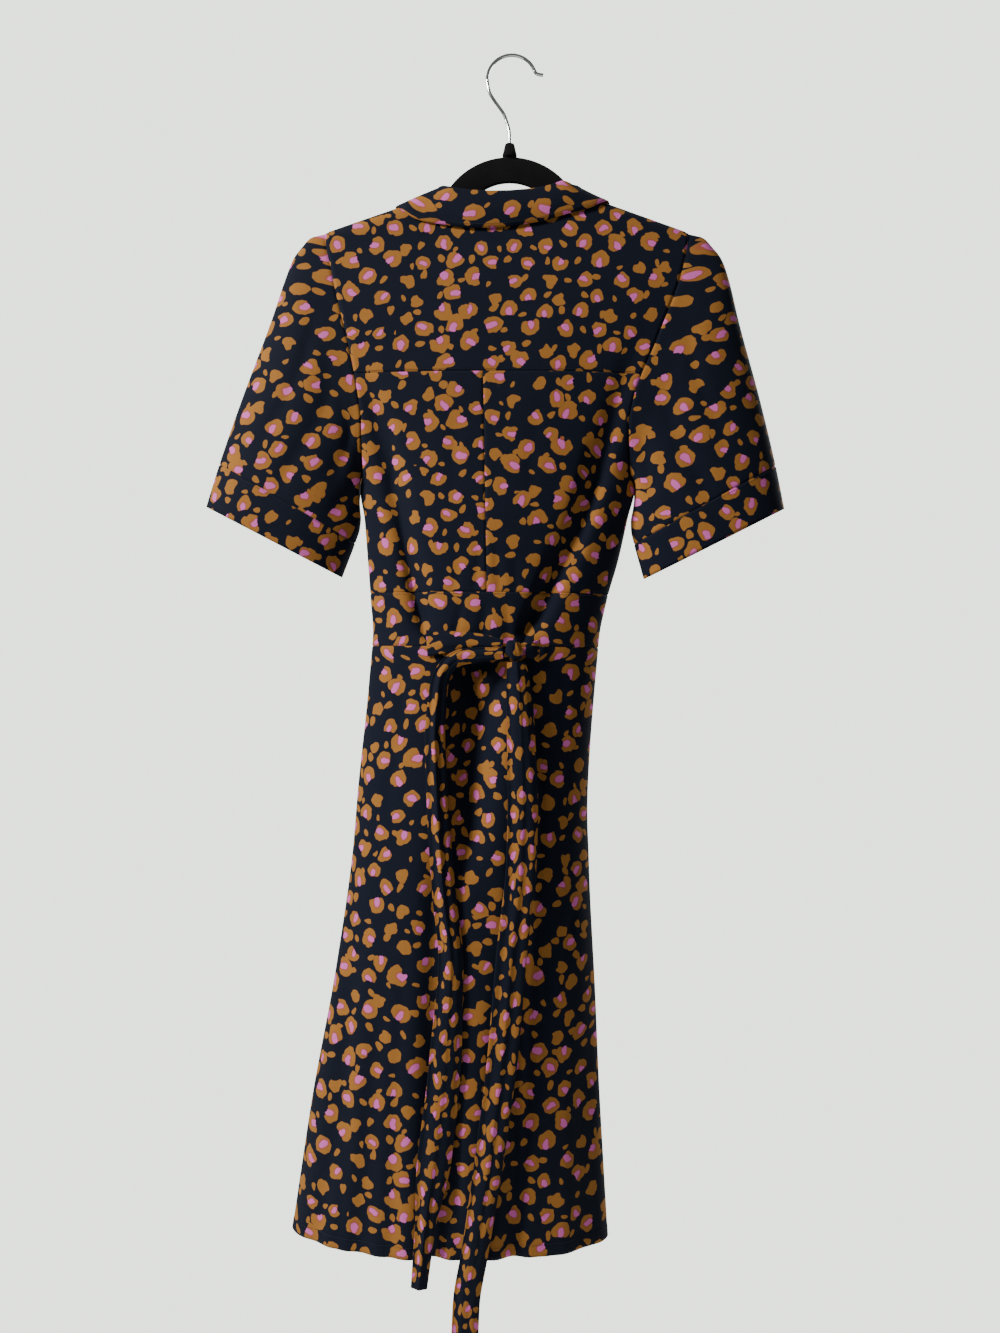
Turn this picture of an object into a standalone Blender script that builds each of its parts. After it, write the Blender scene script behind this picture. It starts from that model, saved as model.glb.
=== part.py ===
"""Knee-length-and-longer shirt dress with short sleeves, hung by its shoulders on a slim hanger.

The origin is the inside of the hanger hook's top, where it hangs. +Z is up and +X is the
wearer's right. The back of the dress faces -Y, its buttoned front +Y. Every cloth piece is a
thin wall on one continuous body form, which runs from the ridge of the shoulders (drop 0)
down the back (side -1) and down the front (side +1). Tables are in millimetres.
"""
import bisect
import functools
import math
import bpy
import bmesh
import numpy as np
from mathutils import Matrix, Vector

MM = 0.001
NAME = "shirt_dress_on_hanger"

# Cloth and seams
WALL = 1.5                # thickness of one cloth wall
SEAM = 0.3                # gap left between two pieces that are sewn together
LAP = WALL + SEAM         # how far a piece lies out from the one that it covers

# Heights of the garment's seams at its middle, before the hanger's tilt
UNDERARM = -511.0
YOKE_SEAM = -380.0
WAIST_TOP = -635.0
WAIST_BOTTOM = -697.0
HEM = -1385.0
PAST_HEM = 2.0            # folds that end at the hem are the same this far past it
V_POINT = -352.0          # where the two sides of the neckline meet in front

# Shoulders
RIDGE_TOP = -134.0        # height at which the two shoulder slopes would meet
RIDGE_MID = 4.0           # the dress hangs a little towards +X on its hanger
RIDGE_SLOPE = 0.351
RIDGE_ROUND = 16.0        # drop over which the cloth turns over the hanger
RIDGE_ARC = RIDGE_ROUND * math.pi / 2
SHOULDER_LAP = 20.0       # how far the yoke reaches over the ridge to its seam in front
SHOULDER_HALF = 213.0     # from the middle to the armhole's top

# Tilt of the hanger, as the rise of level lines towards +X, at three heights
TILT = ((-400.0, 0.0524), (-700.0, 0.0450), (-1385.0, 0.0262))

# Form of the body, a row for each height. half: from the middle to the armhole or side seam.
# mid: shift of the middle. edge: depth of the armhole's edge. back, front: depth in the
# middle. flat: 1 for a crowned section, 0.6 for one that turns sharply at the sides.
BODY = (
    # z, half, mid, edge, back, front, flat
    (-150, SHOULDER_HALF, 4.0, 8, 9, 8, 1.0),
    (-212, SHOULDER_HALF, 4.0, 8, 13, 10, 1.0),
    (-264, 203.0, 6.0, 14, 20, 13, 1.0),
    (-338, 180.0, 4.5, 20, 29, 18, 1.0),
    (-409, 159.0, 1.0, 22, 34, 21, 0.95),
    (-438, 155.0, 1.5, 20, 35, 21, 0.9),
    (-490, 155.5, 5.0, 10, 38, 22, 0.7),
    (-511, 161.5, 8.5, 0, 39, 22, 0.6),
    (-545, 155.0, 8.5, 0, 41, 22, 0.6),
    (-594, 147.5, 7.5, 0, 42, 21, 0.6),
    (-641, 139.0, 5.0, 0, 44, 20, 0.6),
    (-690, 133.0, 4.0, 0, 46, 20, 0.6),
    (-747, 133.0, 2.0, 0, 49, 20, 0.6),
    (-878, 135.5, -2.0, 0, 55, 22, 0.6),
    (-949, 139.5, -0.5, 0, 58, 23, 0.6),
    (-1078, 152.0, 0.0, 0, 61, 24, 0.6),
    (-1232, 169.5, -2.5, 0, 64, 26, 0.6),
    (-1385, 185.5, -1.5, 0, 66, 28, 0.6),
)

CROWN_POWER = 2.3         # how late the section falls off from the middle to the sides
FOLD_MARGIN = 1.6         # folds run out where the crown is under 1 / FOLD_MARGIN
STEP_U = 0.004            # steps between which directions of the body form are measured
STEP_PATH = 0.6

# Folds of the cloth, a row each. The line of a fold runs through three points (x at three
# heights). wide: half width at the top and the bottom. deep: depth at the top and the bottom,
# inwards, or outwards where negative. fade: share of the length over which each end dies out.
BACK_FOLDS = (
    # name, z1, x1, z2, x2, z3, x3, wide_top, wide_bottom, deep_top, deep_bottom, fade_top, fade_bottom
    ("drape_left", -325, -176, -520, -109, -700, -60, 14, 13, 9, 10, 0.3, 0.1),
    ("drape_right", -310, 172, -520, 115, -700, 46, 14, 13, 13, 12, 0.3, 0.1),
    ("recess", -699, -2, -830, -1, -985, 2, 27, 13, 32, 6, 0.06, 0.3),
    ("beside_left_tie", -850, -40, -1040, -33, -1385, -18, 14, 17, 8, 12, 0.3, 0.0),
    ("beside_right_tie", -740, 66, -980, 64, -1385, 72, 14, 18, 10, 12, 0.2, 0.0),
    ("left_side", -950, -130, -1214, -134, -1385, -156, 13, 15, 5, 6, 0.3, 0.0),
    ("left_middle", -1020, -92, -1200, -96, -1385, -101, 13, 17, 3, 6, 0.4, 0.0),
    ("right_side", -1110, 140, -1230, 144, -1385, 153, 13, 15, 5, 6, 0.4, 0.0),
    ("right_middle", -1060, 106, -1220, 109, -1385, 113, 13, 16, 2, 4, 0.4, 0.0),
)
FRONT_FOLDS = (
    ("bust_left", -330, -140, -480, -112, -640, -78, 15, 12, 5, 5, 0.4, 0.2),
    ("bust_right", -330, 150, -480, 122, -640, 86, 15, 12, 5, 5, 0.4, 0.2),
    ("skirt_left_outer", -740, -88, -1050, -108, -1385, -126, 14, 18, 4, 7, 0.3, 0.0),
    ("skirt_left_inner", -710, -46, -1050, -60, -1385, -74, 12, 16, 5, 8, 0.3, 0.0),
    ("skirt_right_inner", -710, 50, -1050, 62, -1385, 70, 12, 16, 5, 8, 0.3, 0.0),
    ("skirt_right_outer", -760, 90, -1050, 106, -1385, 121, 14, 18, 4, 7, 0.3, 0.0),
)

# Sleeve, right one; the left mirrors it. along: share of the outer edge's length from the
# shoulder. The outer and the inner edge of the flattened tube, and its depth to each side.
SLEEVE = (
    # along, outer_x, outer_z, inner_x, inner_z, back, front
    (0.000, SHOULDER_HALF, -209, 158.0, UNDERARM, 21, 21),
    (0.047, 229.0, -214, 158.2, -516, 22, 20),
    (0.095, 241.0, -226, 158.4, -520, 23, 20),
    (0.140, 251.0, -239, 158.6, -524, 23, 20),
    (0.210, 260.0, -262, 158.8, -530, 24, 20),
    (0.350, 274.0, -310, 159.0, -541, 27, 20),
    (0.630, 304.5, -405, 160.0, -558, 30, 22),
    (0.853, 327.0, -482, 164.5, -575, 32, 22),
    (1.000, 340.0, -533, 178.0, -616, 33, 23),
)
SLEEVE_MID = 7.0          # shift of both sleeves with the shoulders
BAND_ALONG = 0.855        # where the turned-up band is sewn on
ARMHOLE_CLEAR = 0.9       # from the armhole's edge to the sleeve, whose facets differ
UNDERARM_CLEAR = 2.0      # more of the same towards the underarm, where the curve is tight
BAND_LONG = 50.0          # length of the sleeve's band
SLEEVE_COLUMNS = 24
SLEEVE_JOIN = 0.22        # share of the length over which the armhole's curve straightens

# Seam down the middle of the back, a little off the middle: z and x
BACK_SEAM = ((-635.0, 2.7), (-380.0, -15.0))

# Columns of the yoke, by distance from its middle, and the rows over the ridge, by their path
YOKE_COLUMNS = (0, 17, 34, 48, 61, 70, 77, 81, 84, 87, 90, 104, 122, 142, 164, 188, 209)
YOKE_ROWS = (20, 11, 4, -4, -11, -22)
YOKE_ROW_STEP = 1.3       # least distance between two of those rows along the neckline

# Neckline over the yoke: distance from its middle, and signed path over the ridge (back < 0)
NECKLINE = ((0.0, -62.0), (34.0, -49.0), (61.0, -31.0), (77.0, -12.0), (84.0, 0.0), (90.0, 20.0))

# Collar, a row for each place from the middle of the back (0) round to a front end (1). Its
# neck seam is alike on both sides. The leaf lies flat on the left shoulder and reaches further
# down there, and it lifts a little over the right one. Distances away are from the middle,
# paths are over the ridge (back < 0).
COLLAR_SEAM = (
    # around, neck_away, neck_path
    (0.00, 0, -62), (0.20, 34, -49), (0.36, 61, -31), (0.48, 77, -12), (0.56, 84, 0), (0.66, 90, 20),
    (0.82, 76, 80), (1.00, 56, 140),
)
COLLAR_LEFT = (
    # around, edge_away, edge_path, rise, lean, push, bow, clear
    (0.00, 0, -83, 21.5, 0, -1, 3, 3),
    (0.20, 38, -71, 20, 0, -1, 3, 3),
    (0.36, 74, -54, 14, 0, -1, 1.5, 3),
    (0.48, 112, -31, 7, 1, 0, 0.5, 2.6),
    (0.56, 132, 0, 6, 2, 1, 0.5, 2.4),
    (0.66, 133, 25, 6, 3, 3, 1.5, 2.8),
    (0.82, 122, 92, 4, 4, 5, 3, 3),
    (1.00, 98, 158, 2, 4, 5, 3, 3),
)
COLLAR_RIGHT = (
    (0.00, 0, -83, 21.5, 0, -1, 3, 3),
    (0.20, 38, -63, 23.5, 0, -1, 3, 3),
    (0.36, 72, -41, 22.5, 0, -1, 3, 3),
    (0.48, 104, -19, 8, 1, 0, 1, 3.5),
    (0.56, 117, 0, 6, 2, 1, -0.5, 3.2),
    (0.66, 122, 25, 7, 3, 3, 1.5, 3),
    (0.82, 120, 92, 4, 4, 5, 3, 3),
    (1.00, 98, 158, 2, 4, 5, 3, 3),
)
COLLAR_ROLL = 2.6         # radius of the fold along its top
STAND_INSET = 2.2         # the stand rises this far inside the neckline's edge
COLLAR_FULL = 0.36        # place from which the stand keeps its whole inset
COLLAR_STEP = 0.03        # step between which the neck seam's direction is measured
COLLAR_PLACES = (0.07, 0.14, 0.2, 0.27, 0.34, 0.4, 0.44, 0.48, 0.51, 0.54, 0.57, 0.6, 0.63,
                 0.67, 0.73, 0.81, 0.9, 1.0)

# Front closing
BAND_WIDTH = 30.0
UNDER_LAP = 13.0          # how far the left front passes the middle under the button band
UNDER_DEEP = 0.8          # how much deeper than its own lap it lies there
UNDER_RAMP = (26.0, 20.0) # it starts to sink this far from the band, over this length
BUTTONS = 11
BUTTON_TOP = -372.0
BUTTON_STEP = 86.0
BUTTON_RADIUS = 5.75
BUTTON_THICK = 2.5

# Waist ties, knotted in the middle of the back. x, y and z of the middle of the strip, its
# half width, the depth of its lengthwise fold, outwards, and the turn of its face.
TIE_WALL = 2.0            # a tie is a flat tube of two plies
KNOT = (37.0, -55.2, -700.0)
KNOT_RADII = (13.0, 9.0, 13.0)
ROOT_LEFT = (
    (-62, -43.9, -697, 15, 0), (-35, -49.5, -694, 12, 3), (-5, -51.5, -693, 10, 3),
    (24, -53.5, -696, 7, 2),
)
ROOT_RIGHT = (
    (66, -44.3, -699, 13, 0), (59, -50, -699, 10, 2), (50.3, -53.5, -699.5, 7, 2),
)
TAIL_LEFT = (
    (24.8, -57.5, -704, 6, 2), (0, -56, -707, 8, 3), (-22, -54, -711, 9, 3),
    (-37, -52.5, -722, 9, 4), (-45, -51, -742, 10, 5), (-47, -52.5, -791, 11, 6),
    (-39, -57.5, -882, 12, 7), (-27.5, -61.5, -973, 13, 7), (-14.5, -65, -1063, 14, 6),
    (-15.5, -67.5, -1164, 18, 5), (-21.5, -68, -1265, 19, 5), (-28.5, -67.5, -1351, 11, 5),
    (-31.5, -68, -1414, 9, 4),
)
TAIL_RIGHT = (
    (40, -54.5, -712.5, 10, 4), (44.5, -53, -740, 14, 7), (50.5, -54.5, -801, 16, 6),
    (56.5, -58, -882, 17, 4), (57.5, -60.5, -942, 17, 3), (51.5, -64.5, -1048, 17, 3),
    (48.5, -67, -1139, 17, 3), (39.5, -69.5, -1260, 16, 4), (29, -70.5, -1366, 15, 4),
    (22, -70, -1431, 15, 3), (23, -69, -1500, 15, 2),
)

# Hanger: a moulded arch with two sloping arms, a nub, and a bent wire hook
HANG_TILT = math.radians(3.0)
HANG_SHIFT = -2.5         # the wire's bend sets the hanger off the middle of its hook
WIRE_RADIUS = 1.9
HOOK_RADIUS = 28.9        # middle of the wire
HANGER_THICK = 5.5
ARCH_CENTRE = -207.0
ARCH_OUTER = 88.0
ARCH_INNER = 58.0
ARCH_FOOT = 77.5          # half span at which the arch runs into the arms, outside and inside
ARCH_INNER_FOOT = 41.0
ARM_HALF = 200.0
ARM_DEEP = 14.0
ARM_CLEAR = 4.0           # the arms' top lies this far below the ridge of the cloth
ARM_TIP = 6.0             # length of the arms' rounded end
NUB_TOP = -103.0
NUB_RADII = (8.5, 5.6)    # at its foot and its top
NUB_FLAT = 0.75
STEM_IN = 9.0             # straight stretch of the wire above the nub

# Middle of the wire, x and z: its flared end, and the bend from the hook into the stem
HOOK_FLARE = ((35.5, -19.6), (31.0, -19.2), (27.6, -17.4))
HOOK_ENDS = (14, 188)     # where the round hook starts and ends, in degrees
HOOK_BEND = ((-25.5, -43.0), (-20.0, -51.8), (-13.4, -60.0), (-7.2, -68.2), (-3.2, -77.5),
             (-0.4, -86.0))

# Colours: base colour (linear), roughness, metallic
NAVY = (0.012, 0.015, 0.026, 1.0)
FLOCK = (0.006, 0.006, 0.007, 1.0)
CHROME = (0.78, 0.79, 0.80, 1.0)
BUTTON = (0.02, 0.02, 0.03, 1.0)


def clear_scene():
    for item in list(bpy.data.objects):
        bpy.data.objects.remove(item, do_unlink=True)


def smooth_curve(xs, ys):
    """Monotone cubic through the points xs (rising), ys, which never overshoots between them."""
    xs, ys = [float(x) for x in xs], [float(y) for y in ys]
    slope = [(ys[i + 1] - ys[i]) / (xs[i + 1] - xs[i]) for i in range(len(xs) - 1)]
    tangent = [slope[0]] + [0.0] * (len(xs) - 2) + [slope[-1]]
    for i in range(1, len(xs) - 1):
        if slope[i - 1] * slope[i] > 0:
            tangent[i] = 2 * slope[i - 1] * slope[i] / (slope[i - 1] + slope[i])

    def value(x):
        x = min(max(x, xs[0]), xs[-1])
        i = min(bisect.bisect_right(xs, x), len(xs) - 1) - 1
        step = xs[i + 1] - xs[i]
        t = (x - xs[i]) / step
        bend = tangent[i] * t * (1 - t) ** 2 - tangent[i + 1] * t * t * (1 - t)
        return ys[i] * (1 + 2 * t) * (1 - t) ** 2 + ys[i + 1] * t * t * (3 - 2 * t) + step * bend
    return value


@functools.lru_cache(maxsize=None)
def table_curve(table, key):
    """Smooth curve through one column of a table, over its first column."""
    rows = sorted(table, key=lambda row: row[0])
    return smooth_curve([row[0] for row in rows], [row[key] for row in rows])


def column(table, key, value):
    return table_curve(table, key)(value)


def ease(t):
    t = min(max(t, 0.0), 1.0)
    return t * t * (3 - 2 * t)


def body_at(z, key):
    names = ("z", "half", "mid", "edge", "back", "front", "flat")
    return column(BODY, names.index(key), z)


def ridge(x):
    return RIDGE_TOP - RIDGE_SLOPE * abs(x - RIDGE_MID)


def fold_depth(folds, x, z):
    """Depth of all folds of one side at a place, inwards."""
    total = 0.0
    for _, z1, x1, z2, x2, z3, x3, wide_a, wide_b, deep_a, deep_b, fade_a, fade_b in folds:
        t = min((z1 - z) / (z1 - z3), 1.0)
        if t < 0 or z < z3 - PAST_HEM:
            continue
        line = column(((z3, x3), (z2, x2), (z1, x1)), 1, z)
        strength = ease(t / fade_a) if fade_a else 1.0
        strength *= ease((1 - t) / fade_b) if fade_b else 1.0
        wide = wide_a + (wide_b - wide_a) * t
        deep = deep_a + (deep_b - deep_a) * t
        total += deep * strength * math.exp(-((x - line) / wide) ** 2)
    return total


def depth_at(x, z, side):
    """How far the cloth lies behind (side -1) or before (side +1) the plane of the hanger."""
    reach = min(abs(x - body_at(z, "mid")) / body_at(z, "half"), 1.0)
    crown = (1 - reach ** CROWN_POWER) ** body_at(z, "flat")
    edge = body_at(z, "edge")
    middle = body_at(z, "back" if side < 0 else "front")
    over = min(max((ridge(x) - z) / RIDGE_ROUND, 0.0), 1.0)
    turn = math.sqrt(1 - (1 - over) ** 2)
    folds = BACK_FOLDS if side < 0 else FRONT_FOLDS
    depth = turn * (edge + (middle - edge) * crown)
    return depth - fold_depth(folds, x, z) * min(crown * FOLD_MARGIN, 1.0)


def tilted(point):
    """Lean of the whole garment with its hanger."""
    x, y, z = point
    return np.array((x, y, z + x * column(TILT, 1, z)))


def spread(u):
    """Share of the half width for the even step u, closer set towards the sides."""
    return 1.3 * u - 0.3 * u ** 3


def path_at(x, z):
    """Length of the path over the ridge at a height below its round turn."""
    return ridge(x) - z + RIDGE_ARC - RIDGE_ROUND


def on_body(x, path, side):
    """Point of the untilted body form at x, a length of path down from the ridge."""
    if path < RIDGE_ARC:
        z = ridge(x) - RIDGE_ROUND * (1 - math.cos(path / RIDGE_ROUND))
    else:
        z = ridge(x) - (path - RIDGE_ARC + RIDGE_ROUND)
    return np.array((x, side * (depth_at(x, z, side) + SEAM / 2), z))


def body_point(u, path, side):
    """As on_body, for u from -1 to 1 between the armholes or side seams, and round the sides."""
    if abs(u) > 1:
        u, side = math.copysign(2 - abs(u), u), -side
    x, z = 0.0, -300.0
    for _ in range(6):
        x = body_at(z, "mid") + body_at(z, "half") * spread(u)
        z = on_body(x, path, side)[2]
    return on_body(x, path, side)


def signed_body(u, path):
    """Body point by a signed path: behind the ridge < 0, before it > 0."""
    return body_point(u, abs(path), -1 if path < 0 else 1)


def body_frame(u, path):
    """Point and outward direction of the body form, by a signed path."""
    point = signed_body(u, path)
    beyond = abs(u) + STEP_U <= 1 or point[2] < UNDERARM
    high = u + STEP_U if beyond or u < 0 else u
    low = u - STEP_U if beyond or u > 0 else u
    across = signed_body(high, path) - signed_body(low, path)
    down = signed_body(u, path + STEP_PATH) - signed_body(u, path - STEP_PATH)
    normal = np.cross(across, down)
    if point[2] < UNDERARM and abs(abs(u) - 1) < 1e-6:
        normal = np.array((u, 0.0, 0.0))
    normal /= np.linalg.norm(normal)
    outward = np.array((point[0], point[1] * 3, 40.0 if abs(path) < RIDGE_ARC else 0.0))
    return point, normal if normal @ outward > 0 else -normal


def u_of(x, z):
    """The even step u at which the body form has this x, at a height."""
    share = (x - body_at(z, "mid")) / body_at(z, "half")
    low, high = -1.0, 1.0
    for _ in range(30):
        u = (low + high) / 2
        low, high = (u, high) if spread(u) < share else (low, u)
    return (low + high) / 2


def collection():
    group = bpy.data.collections.get(NAME)
    if group is None:
        group = bpy.data.collections.new(NAME)
        bpy.context.scene.collection.children.link(group)
    return group


def material(name, colour, roughness, metallic=0.0):
    made = bpy.data.materials.new(name)
    made.use_nodes = True
    shader = made.node_tree.nodes["Principled BSDF"]
    shader.inputs["Base Color"].default_value = colour
    shader.inputs["Roughness"].default_value = roughness
    shader.inputs["Metallic"].default_value = metallic
    made.diffuse_color = colour
    return made


def add_object(name, mesh, colour, roughness, metallic=0.0):
    item = bpy.data.objects.new(name, mesh)
    mesh.materials.clear()
    mesh.materials.append(material(name + "_finish", colour, roughness, metallic))
    collection().objects.link(item)
    item.parent = hang_point()
    return item


def hang_point():
    empty = bpy.data.objects.get("hang_point")
    if empty is None:
        empty = bpy.data.objects.new("hang_point", None)
        collection().objects.link(empty)
    return empty


def grid_normals(points, closed):
    """Outward directions of a grid of points, from its neighbours."""
    if closed:
        rolled = np.roll(points, -1, axis=0) - np.roll(points, 1, axis=0)
    else:
        rolled = np.gradient(points, axis=0)
    normals = np.cross(rolled, np.gradient(points, axis=1))
    return normals / np.linalg.norm(normals, axis=2, keepdims=True)


def wall(name, points, normals=None, closed=False, thick=WALL, colour=NAVY):
    """One cloth piece: a wall round a grid of middle points, open at its ends or closed round."""
    points = np.array([[tilted(p) for p in row] for row in points])
    normals = grid_normals(points, closed) if normals is None else np.array(normals)
    bm = bmesh.new()
    skins = []
    for sign in (0.5, -0.5):
        moved = (points + normals * thick * sign) * MM
        skins.append([[bm.verts.new(p) for p in row] for row in moved])
    outer, inner = skins
    rows, columns = points.shape[:2]
    spans = [(i, (i + 1) % rows) for i in range(rows if closed else rows - 1)]
    for i, j in spans:
        for k in range(columns - 1):
            bm.faces.new((outer[i][k], outer[j][k], outer[j][k + 1], outer[i][k + 1]))
            bm.faces.new((inner[i][k], inner[i][k + 1], inner[j][k + 1], inner[j][k]))
        for k in (0, columns - 1):
            bm.faces.new((outer[i][k], inner[i][k], inner[j][k], outer[j][k]))
    if not closed:
        for i in (0, rows - 1):
            for k in range(columns - 1):
                bm.faces.new((outer[i][k], outer[i][k + 1], inner[i][k + 1], inner[i][k]))
    bmesh.ops.recalc_face_normals(bm, faces=bm.faces)
    mesh = bpy.data.meshes.new(name)
    bm.to_mesh(mesh)
    bm.free()
    mesh.shade_smooth()
    return add_object(name, mesh, colour, 0.72)


def squared(normal, axis):
    """Direction with one of its parts removed, so that the rim at a seam is square to it."""
    flat = np.array(normal)
    flat[axis] = 0.0
    return flat / np.linalg.norm(flat)


def seam_normals(points, normals, first=None, last=None, top=2, bottom=2):
    """Normals from the grid itself, but from the body form and square to the seam on each edge.
    first and last take a function from a point to the axis across that edge, or None."""
    own = grid_normals(np.array(points), False)
    normals = np.array(normals)
    facing = np.sign(np.sum(own * normals, axis=2, keepdims=True))
    own = own * facing
    for i, across in ((0, first), (-1, last)):
        for j in range(own.shape[1]):
            own[i][j] = squared(normals[i][j], across(points[i][j])) if across else normals[i][j]
    for j, across in ((0, top), (-1, bottom)):
        if across is not None:
            for i in range(own.shape[0]):
                own[i][j] = squared(own[i][j] if i in (0, own.shape[0] - 1) else normals[i][j], across)
    return own


def side_edge(point):
    """Axis across the edge of a panel: X along the armhole, Y down the side seam."""
    return 0 if point[2] > UNDERARM + 8 else 1


def middle_edge(point):
    return 0


def body_panel(name, side, sides, top, bottom, columns, rows, lift=0.0, sewn_below=True):
    """A panel of the body form. sides gives u at the two edges for a share of the height,
    top and bottom give the path for u, and lift moves the panel out."""
    points, normals = [], []
    for i in range(columns + 1):
        line, directions = [], []
        for j in range(rows + 1):
            share = j / rows
            first, last = sides(share)
            u = first + (last - first) * i / columns
            path = side * (top(u) + (bottom(u) - top(u)) * share)
            point, normal = body_frame(u, path)
            out = lift(point) if callable(lift) else lift
            line.append(point + normal * out)
            directions.append(normal)
        points.append(line)
        normals.append(directions)
    edges = [side_edge if abs(abs(sides(0.0)[i]) - 1) < 1e-6 else middle_edge for i in (0, 1)]
    below = 2 if sewn_below else None
    return wall(name, points, seam_normals(points, normals, *edges, bottom=below))


def level(z, inset=0.0):
    """Path function for a level seam, moved down by an inset."""
    def path(u):
        x = body_at(z, "mid") + body_at(z, "half") * spread(u)
        return path_at(x, z - inset)
    return path


def full_width(share):
    """Both edges of a panel that runs from side seam to side seam."""
    return -1.0, 1.0


def middle_line(z_top, z_bottom, x_of, gap):
    """u of a vertical seam line whose x is given by height, moved by half the seam's gap."""
    def u(share):
        z = z_top + (z_bottom - z_top) * share
        return u_of(x_of(z) + gap, z)
    return u


def back_seam_x(z):
    """The seam down the middle of the back hangs a little off the middle."""
    return column(BACK_SEAM, 1, z)


def neck_path(x):
    """Signed path of the neckline over the yoke, by the distance from its middle."""
    away = abs(x - body_at(RIDGE_TOP, "mid"))
    return column(NECKLINE, 1, away)


def make_yoke():
    """Back yoke: from the yoke seam up over the shoulders to the seams in front."""
    below = 5
    xs = [RIDGE_MID - away for away in reversed(YOKE_COLUMNS)]
    xs += [RIDGE_MID + away for away in YOKE_COLUMNS[1:]]
    points, normals = [], []
    for x in xs:
        inner = abs(x - RIDGE_MID) < YOKE_COLUMNS[-1]
        u = u_of(x, ridge(x)) if inner else math.copysign(1.0, x)
        start = min(neck_path(x), SHOULDER_LAP) - SEAM / 2
        finish = -level(YOKE_SEAM, -SEAM / 2)(u)
        paths = [min(path - SEAM / 2, start - YOKE_ROW_STEP * i) for i, path in enumerate(YOKE_ROWS)]
        paths += [paths[-1] + (finish - paths[-1]) * (i / below) for i in range(1, below + 1)]
        frames = [body_frame(u, path) for path in paths]
        points.append([point for point, _ in frames])
        normals.append([normal for _, normal in frames])
    wall("back_yoke", points, seam_normals(points, normals, side_edge, side_edge, top=None))


def make_back():
    """Two back panels below the yoke, sewn down the middle."""
    top, bottom = level(YOKE_SEAM, SEAM / 2), level(WAIST_TOP, -SEAM / 2)
    left = middle_line(YOKE_SEAM, WAIST_TOP, back_seam_x, -SEAM / 2)
    right = middle_line(YOKE_SEAM, WAIST_TOP, back_seam_x, SEAM / 2)
    body_panel("back_left", -1, lambda share: (-1.0, left(share)), top, bottom, 16, 8)
    body_panel("back_right", -1, lambda share: (right(share), 1.0), top, bottom, 16, 8)


def front_neck_x(path, side):
    """x of the neckline in front, from the yoke's end down to the V."""
    foot = front_edge(side)
    reach = (path - SHOULDER_LAP) / (path_at(foot, V_POINT) - SHOULDER_LAP)
    shoulder = RIDGE_MID + side * NECKLINE[-1][0]
    return foot + (shoulder - foot) * max(1 - reach, 0.0) ** 1.1


def under_lap(point):
    """The left front sinks under the band by the thickness of the cloth."""
    reach, length = UNDER_RAMP
    return -(LAP + UNDER_DEEP) * ease((point[0] + BAND_WIDTH / 2 + reach) / length)


def make_front(name, side):
    """A bodice front from the shoulder seam to the waist, along the neckline and the band."""
    columns, rows = 14, 12
    foot = front_edge(side)
    start = SHOULDER_LAP + SEAM / 2
    waist = level(WAIST_TOP, -SEAM / 2)
    points, normals = [], []
    for i in range(columns + 1):
        line, directions = [], []
        for j in range(rows + 1):
            share = (j / rows) ** 1.2
            x_in = foot
            for _ in range(4):
                path_in = start + (path_at(x_in, WAIST_TOP + SEAM / 2) - start) * share
                x_in = front_neck_x(path_in, side)
            u_in = u_of(x_in, ridge(x_in) - path_in + RIDGE_ARC - RIDGE_ROUND)
            u = side + (u_in - side) * i / columns
            point, normal = body_frame(u, start + (waist(u) - start) * share)
            if side < 0:
                point = point + normal * under_lap(point)
            line.append(point)
            directions.append(normal)
        points.append(line)
        normals.append(directions)
    wall(name, points, seam_normals(points, normals, side_edge, middle_edge, top=None))


def front_edge(side):
    """x of a front's inner edge below the neckline."""
    return BAND_WIDTH / 2 + SEAM / 2 if side > 0 else UNDER_LAP


def front_panel(name, side, z_top, z_bottom, columns, rows, sewn_below=True):
    """A front panel below the bodice, from its side seam to the button band."""
    def sides(share):
        z = z_top + (z_bottom - z_top) * share
        edge = u_of(front_edge(side), z)
        return (edge, 1.0) if side > 0 else (-1.0, edge)
    lift = 0.0 if side > 0 else under_lap
    top, bottom = level(z_top, SEAM / 2), level(z_bottom, -SEAM / 2)
    body_panel(name, 1, sides, top, bottom, columns, rows, lift, sewn_below)


def make_waist_and_skirt():
    """Inset waistband and the skirt under it."""
    top, bottom = level(WAIST_TOP, SEAM / 2), level(WAIST_BOTTOM, -SEAM / 2)
    body_panel("waistband_back", -1, full_width, top, bottom, 34, 3)
    top, bottom = level(WAIST_BOTTOM, SEAM / 2), level(HEM)
    body_panel("skirt_back", -1, full_width, top, bottom, 42, 11, sewn_below=False)
    for name, side in (("left", -1), ("right", 1)):
        front_panel("waistband_front_" + name, side, WAIST_TOP, WAIST_BOTTOM, 12, 2)
        front_panel("skirt_front_" + name, side, WAIST_BOTTOM, HEM, 17, 9, sewn_below=False)


def make_button_band():
    """Band along the right front's edge, which laps over the left front."""
    points, normals = [], []
    for x in (-BAND_WIDTH / 2, 0.0, BAND_WIDTH / 2 - SEAM / 2):
        line, directions = [], []
        for j in range(25):
            z = V_POINT + (HEM - V_POINT) * j / 24
            u = u_of(x, z)
            point, normal = body_frame(u, path_at(x, z))
            line.append(point)
            directions.append(normal)
        points.append(line)
        normals.append(directions)
    wall("button_band", points, seam_normals(points, normals, middle_edge, middle_edge))


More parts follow.
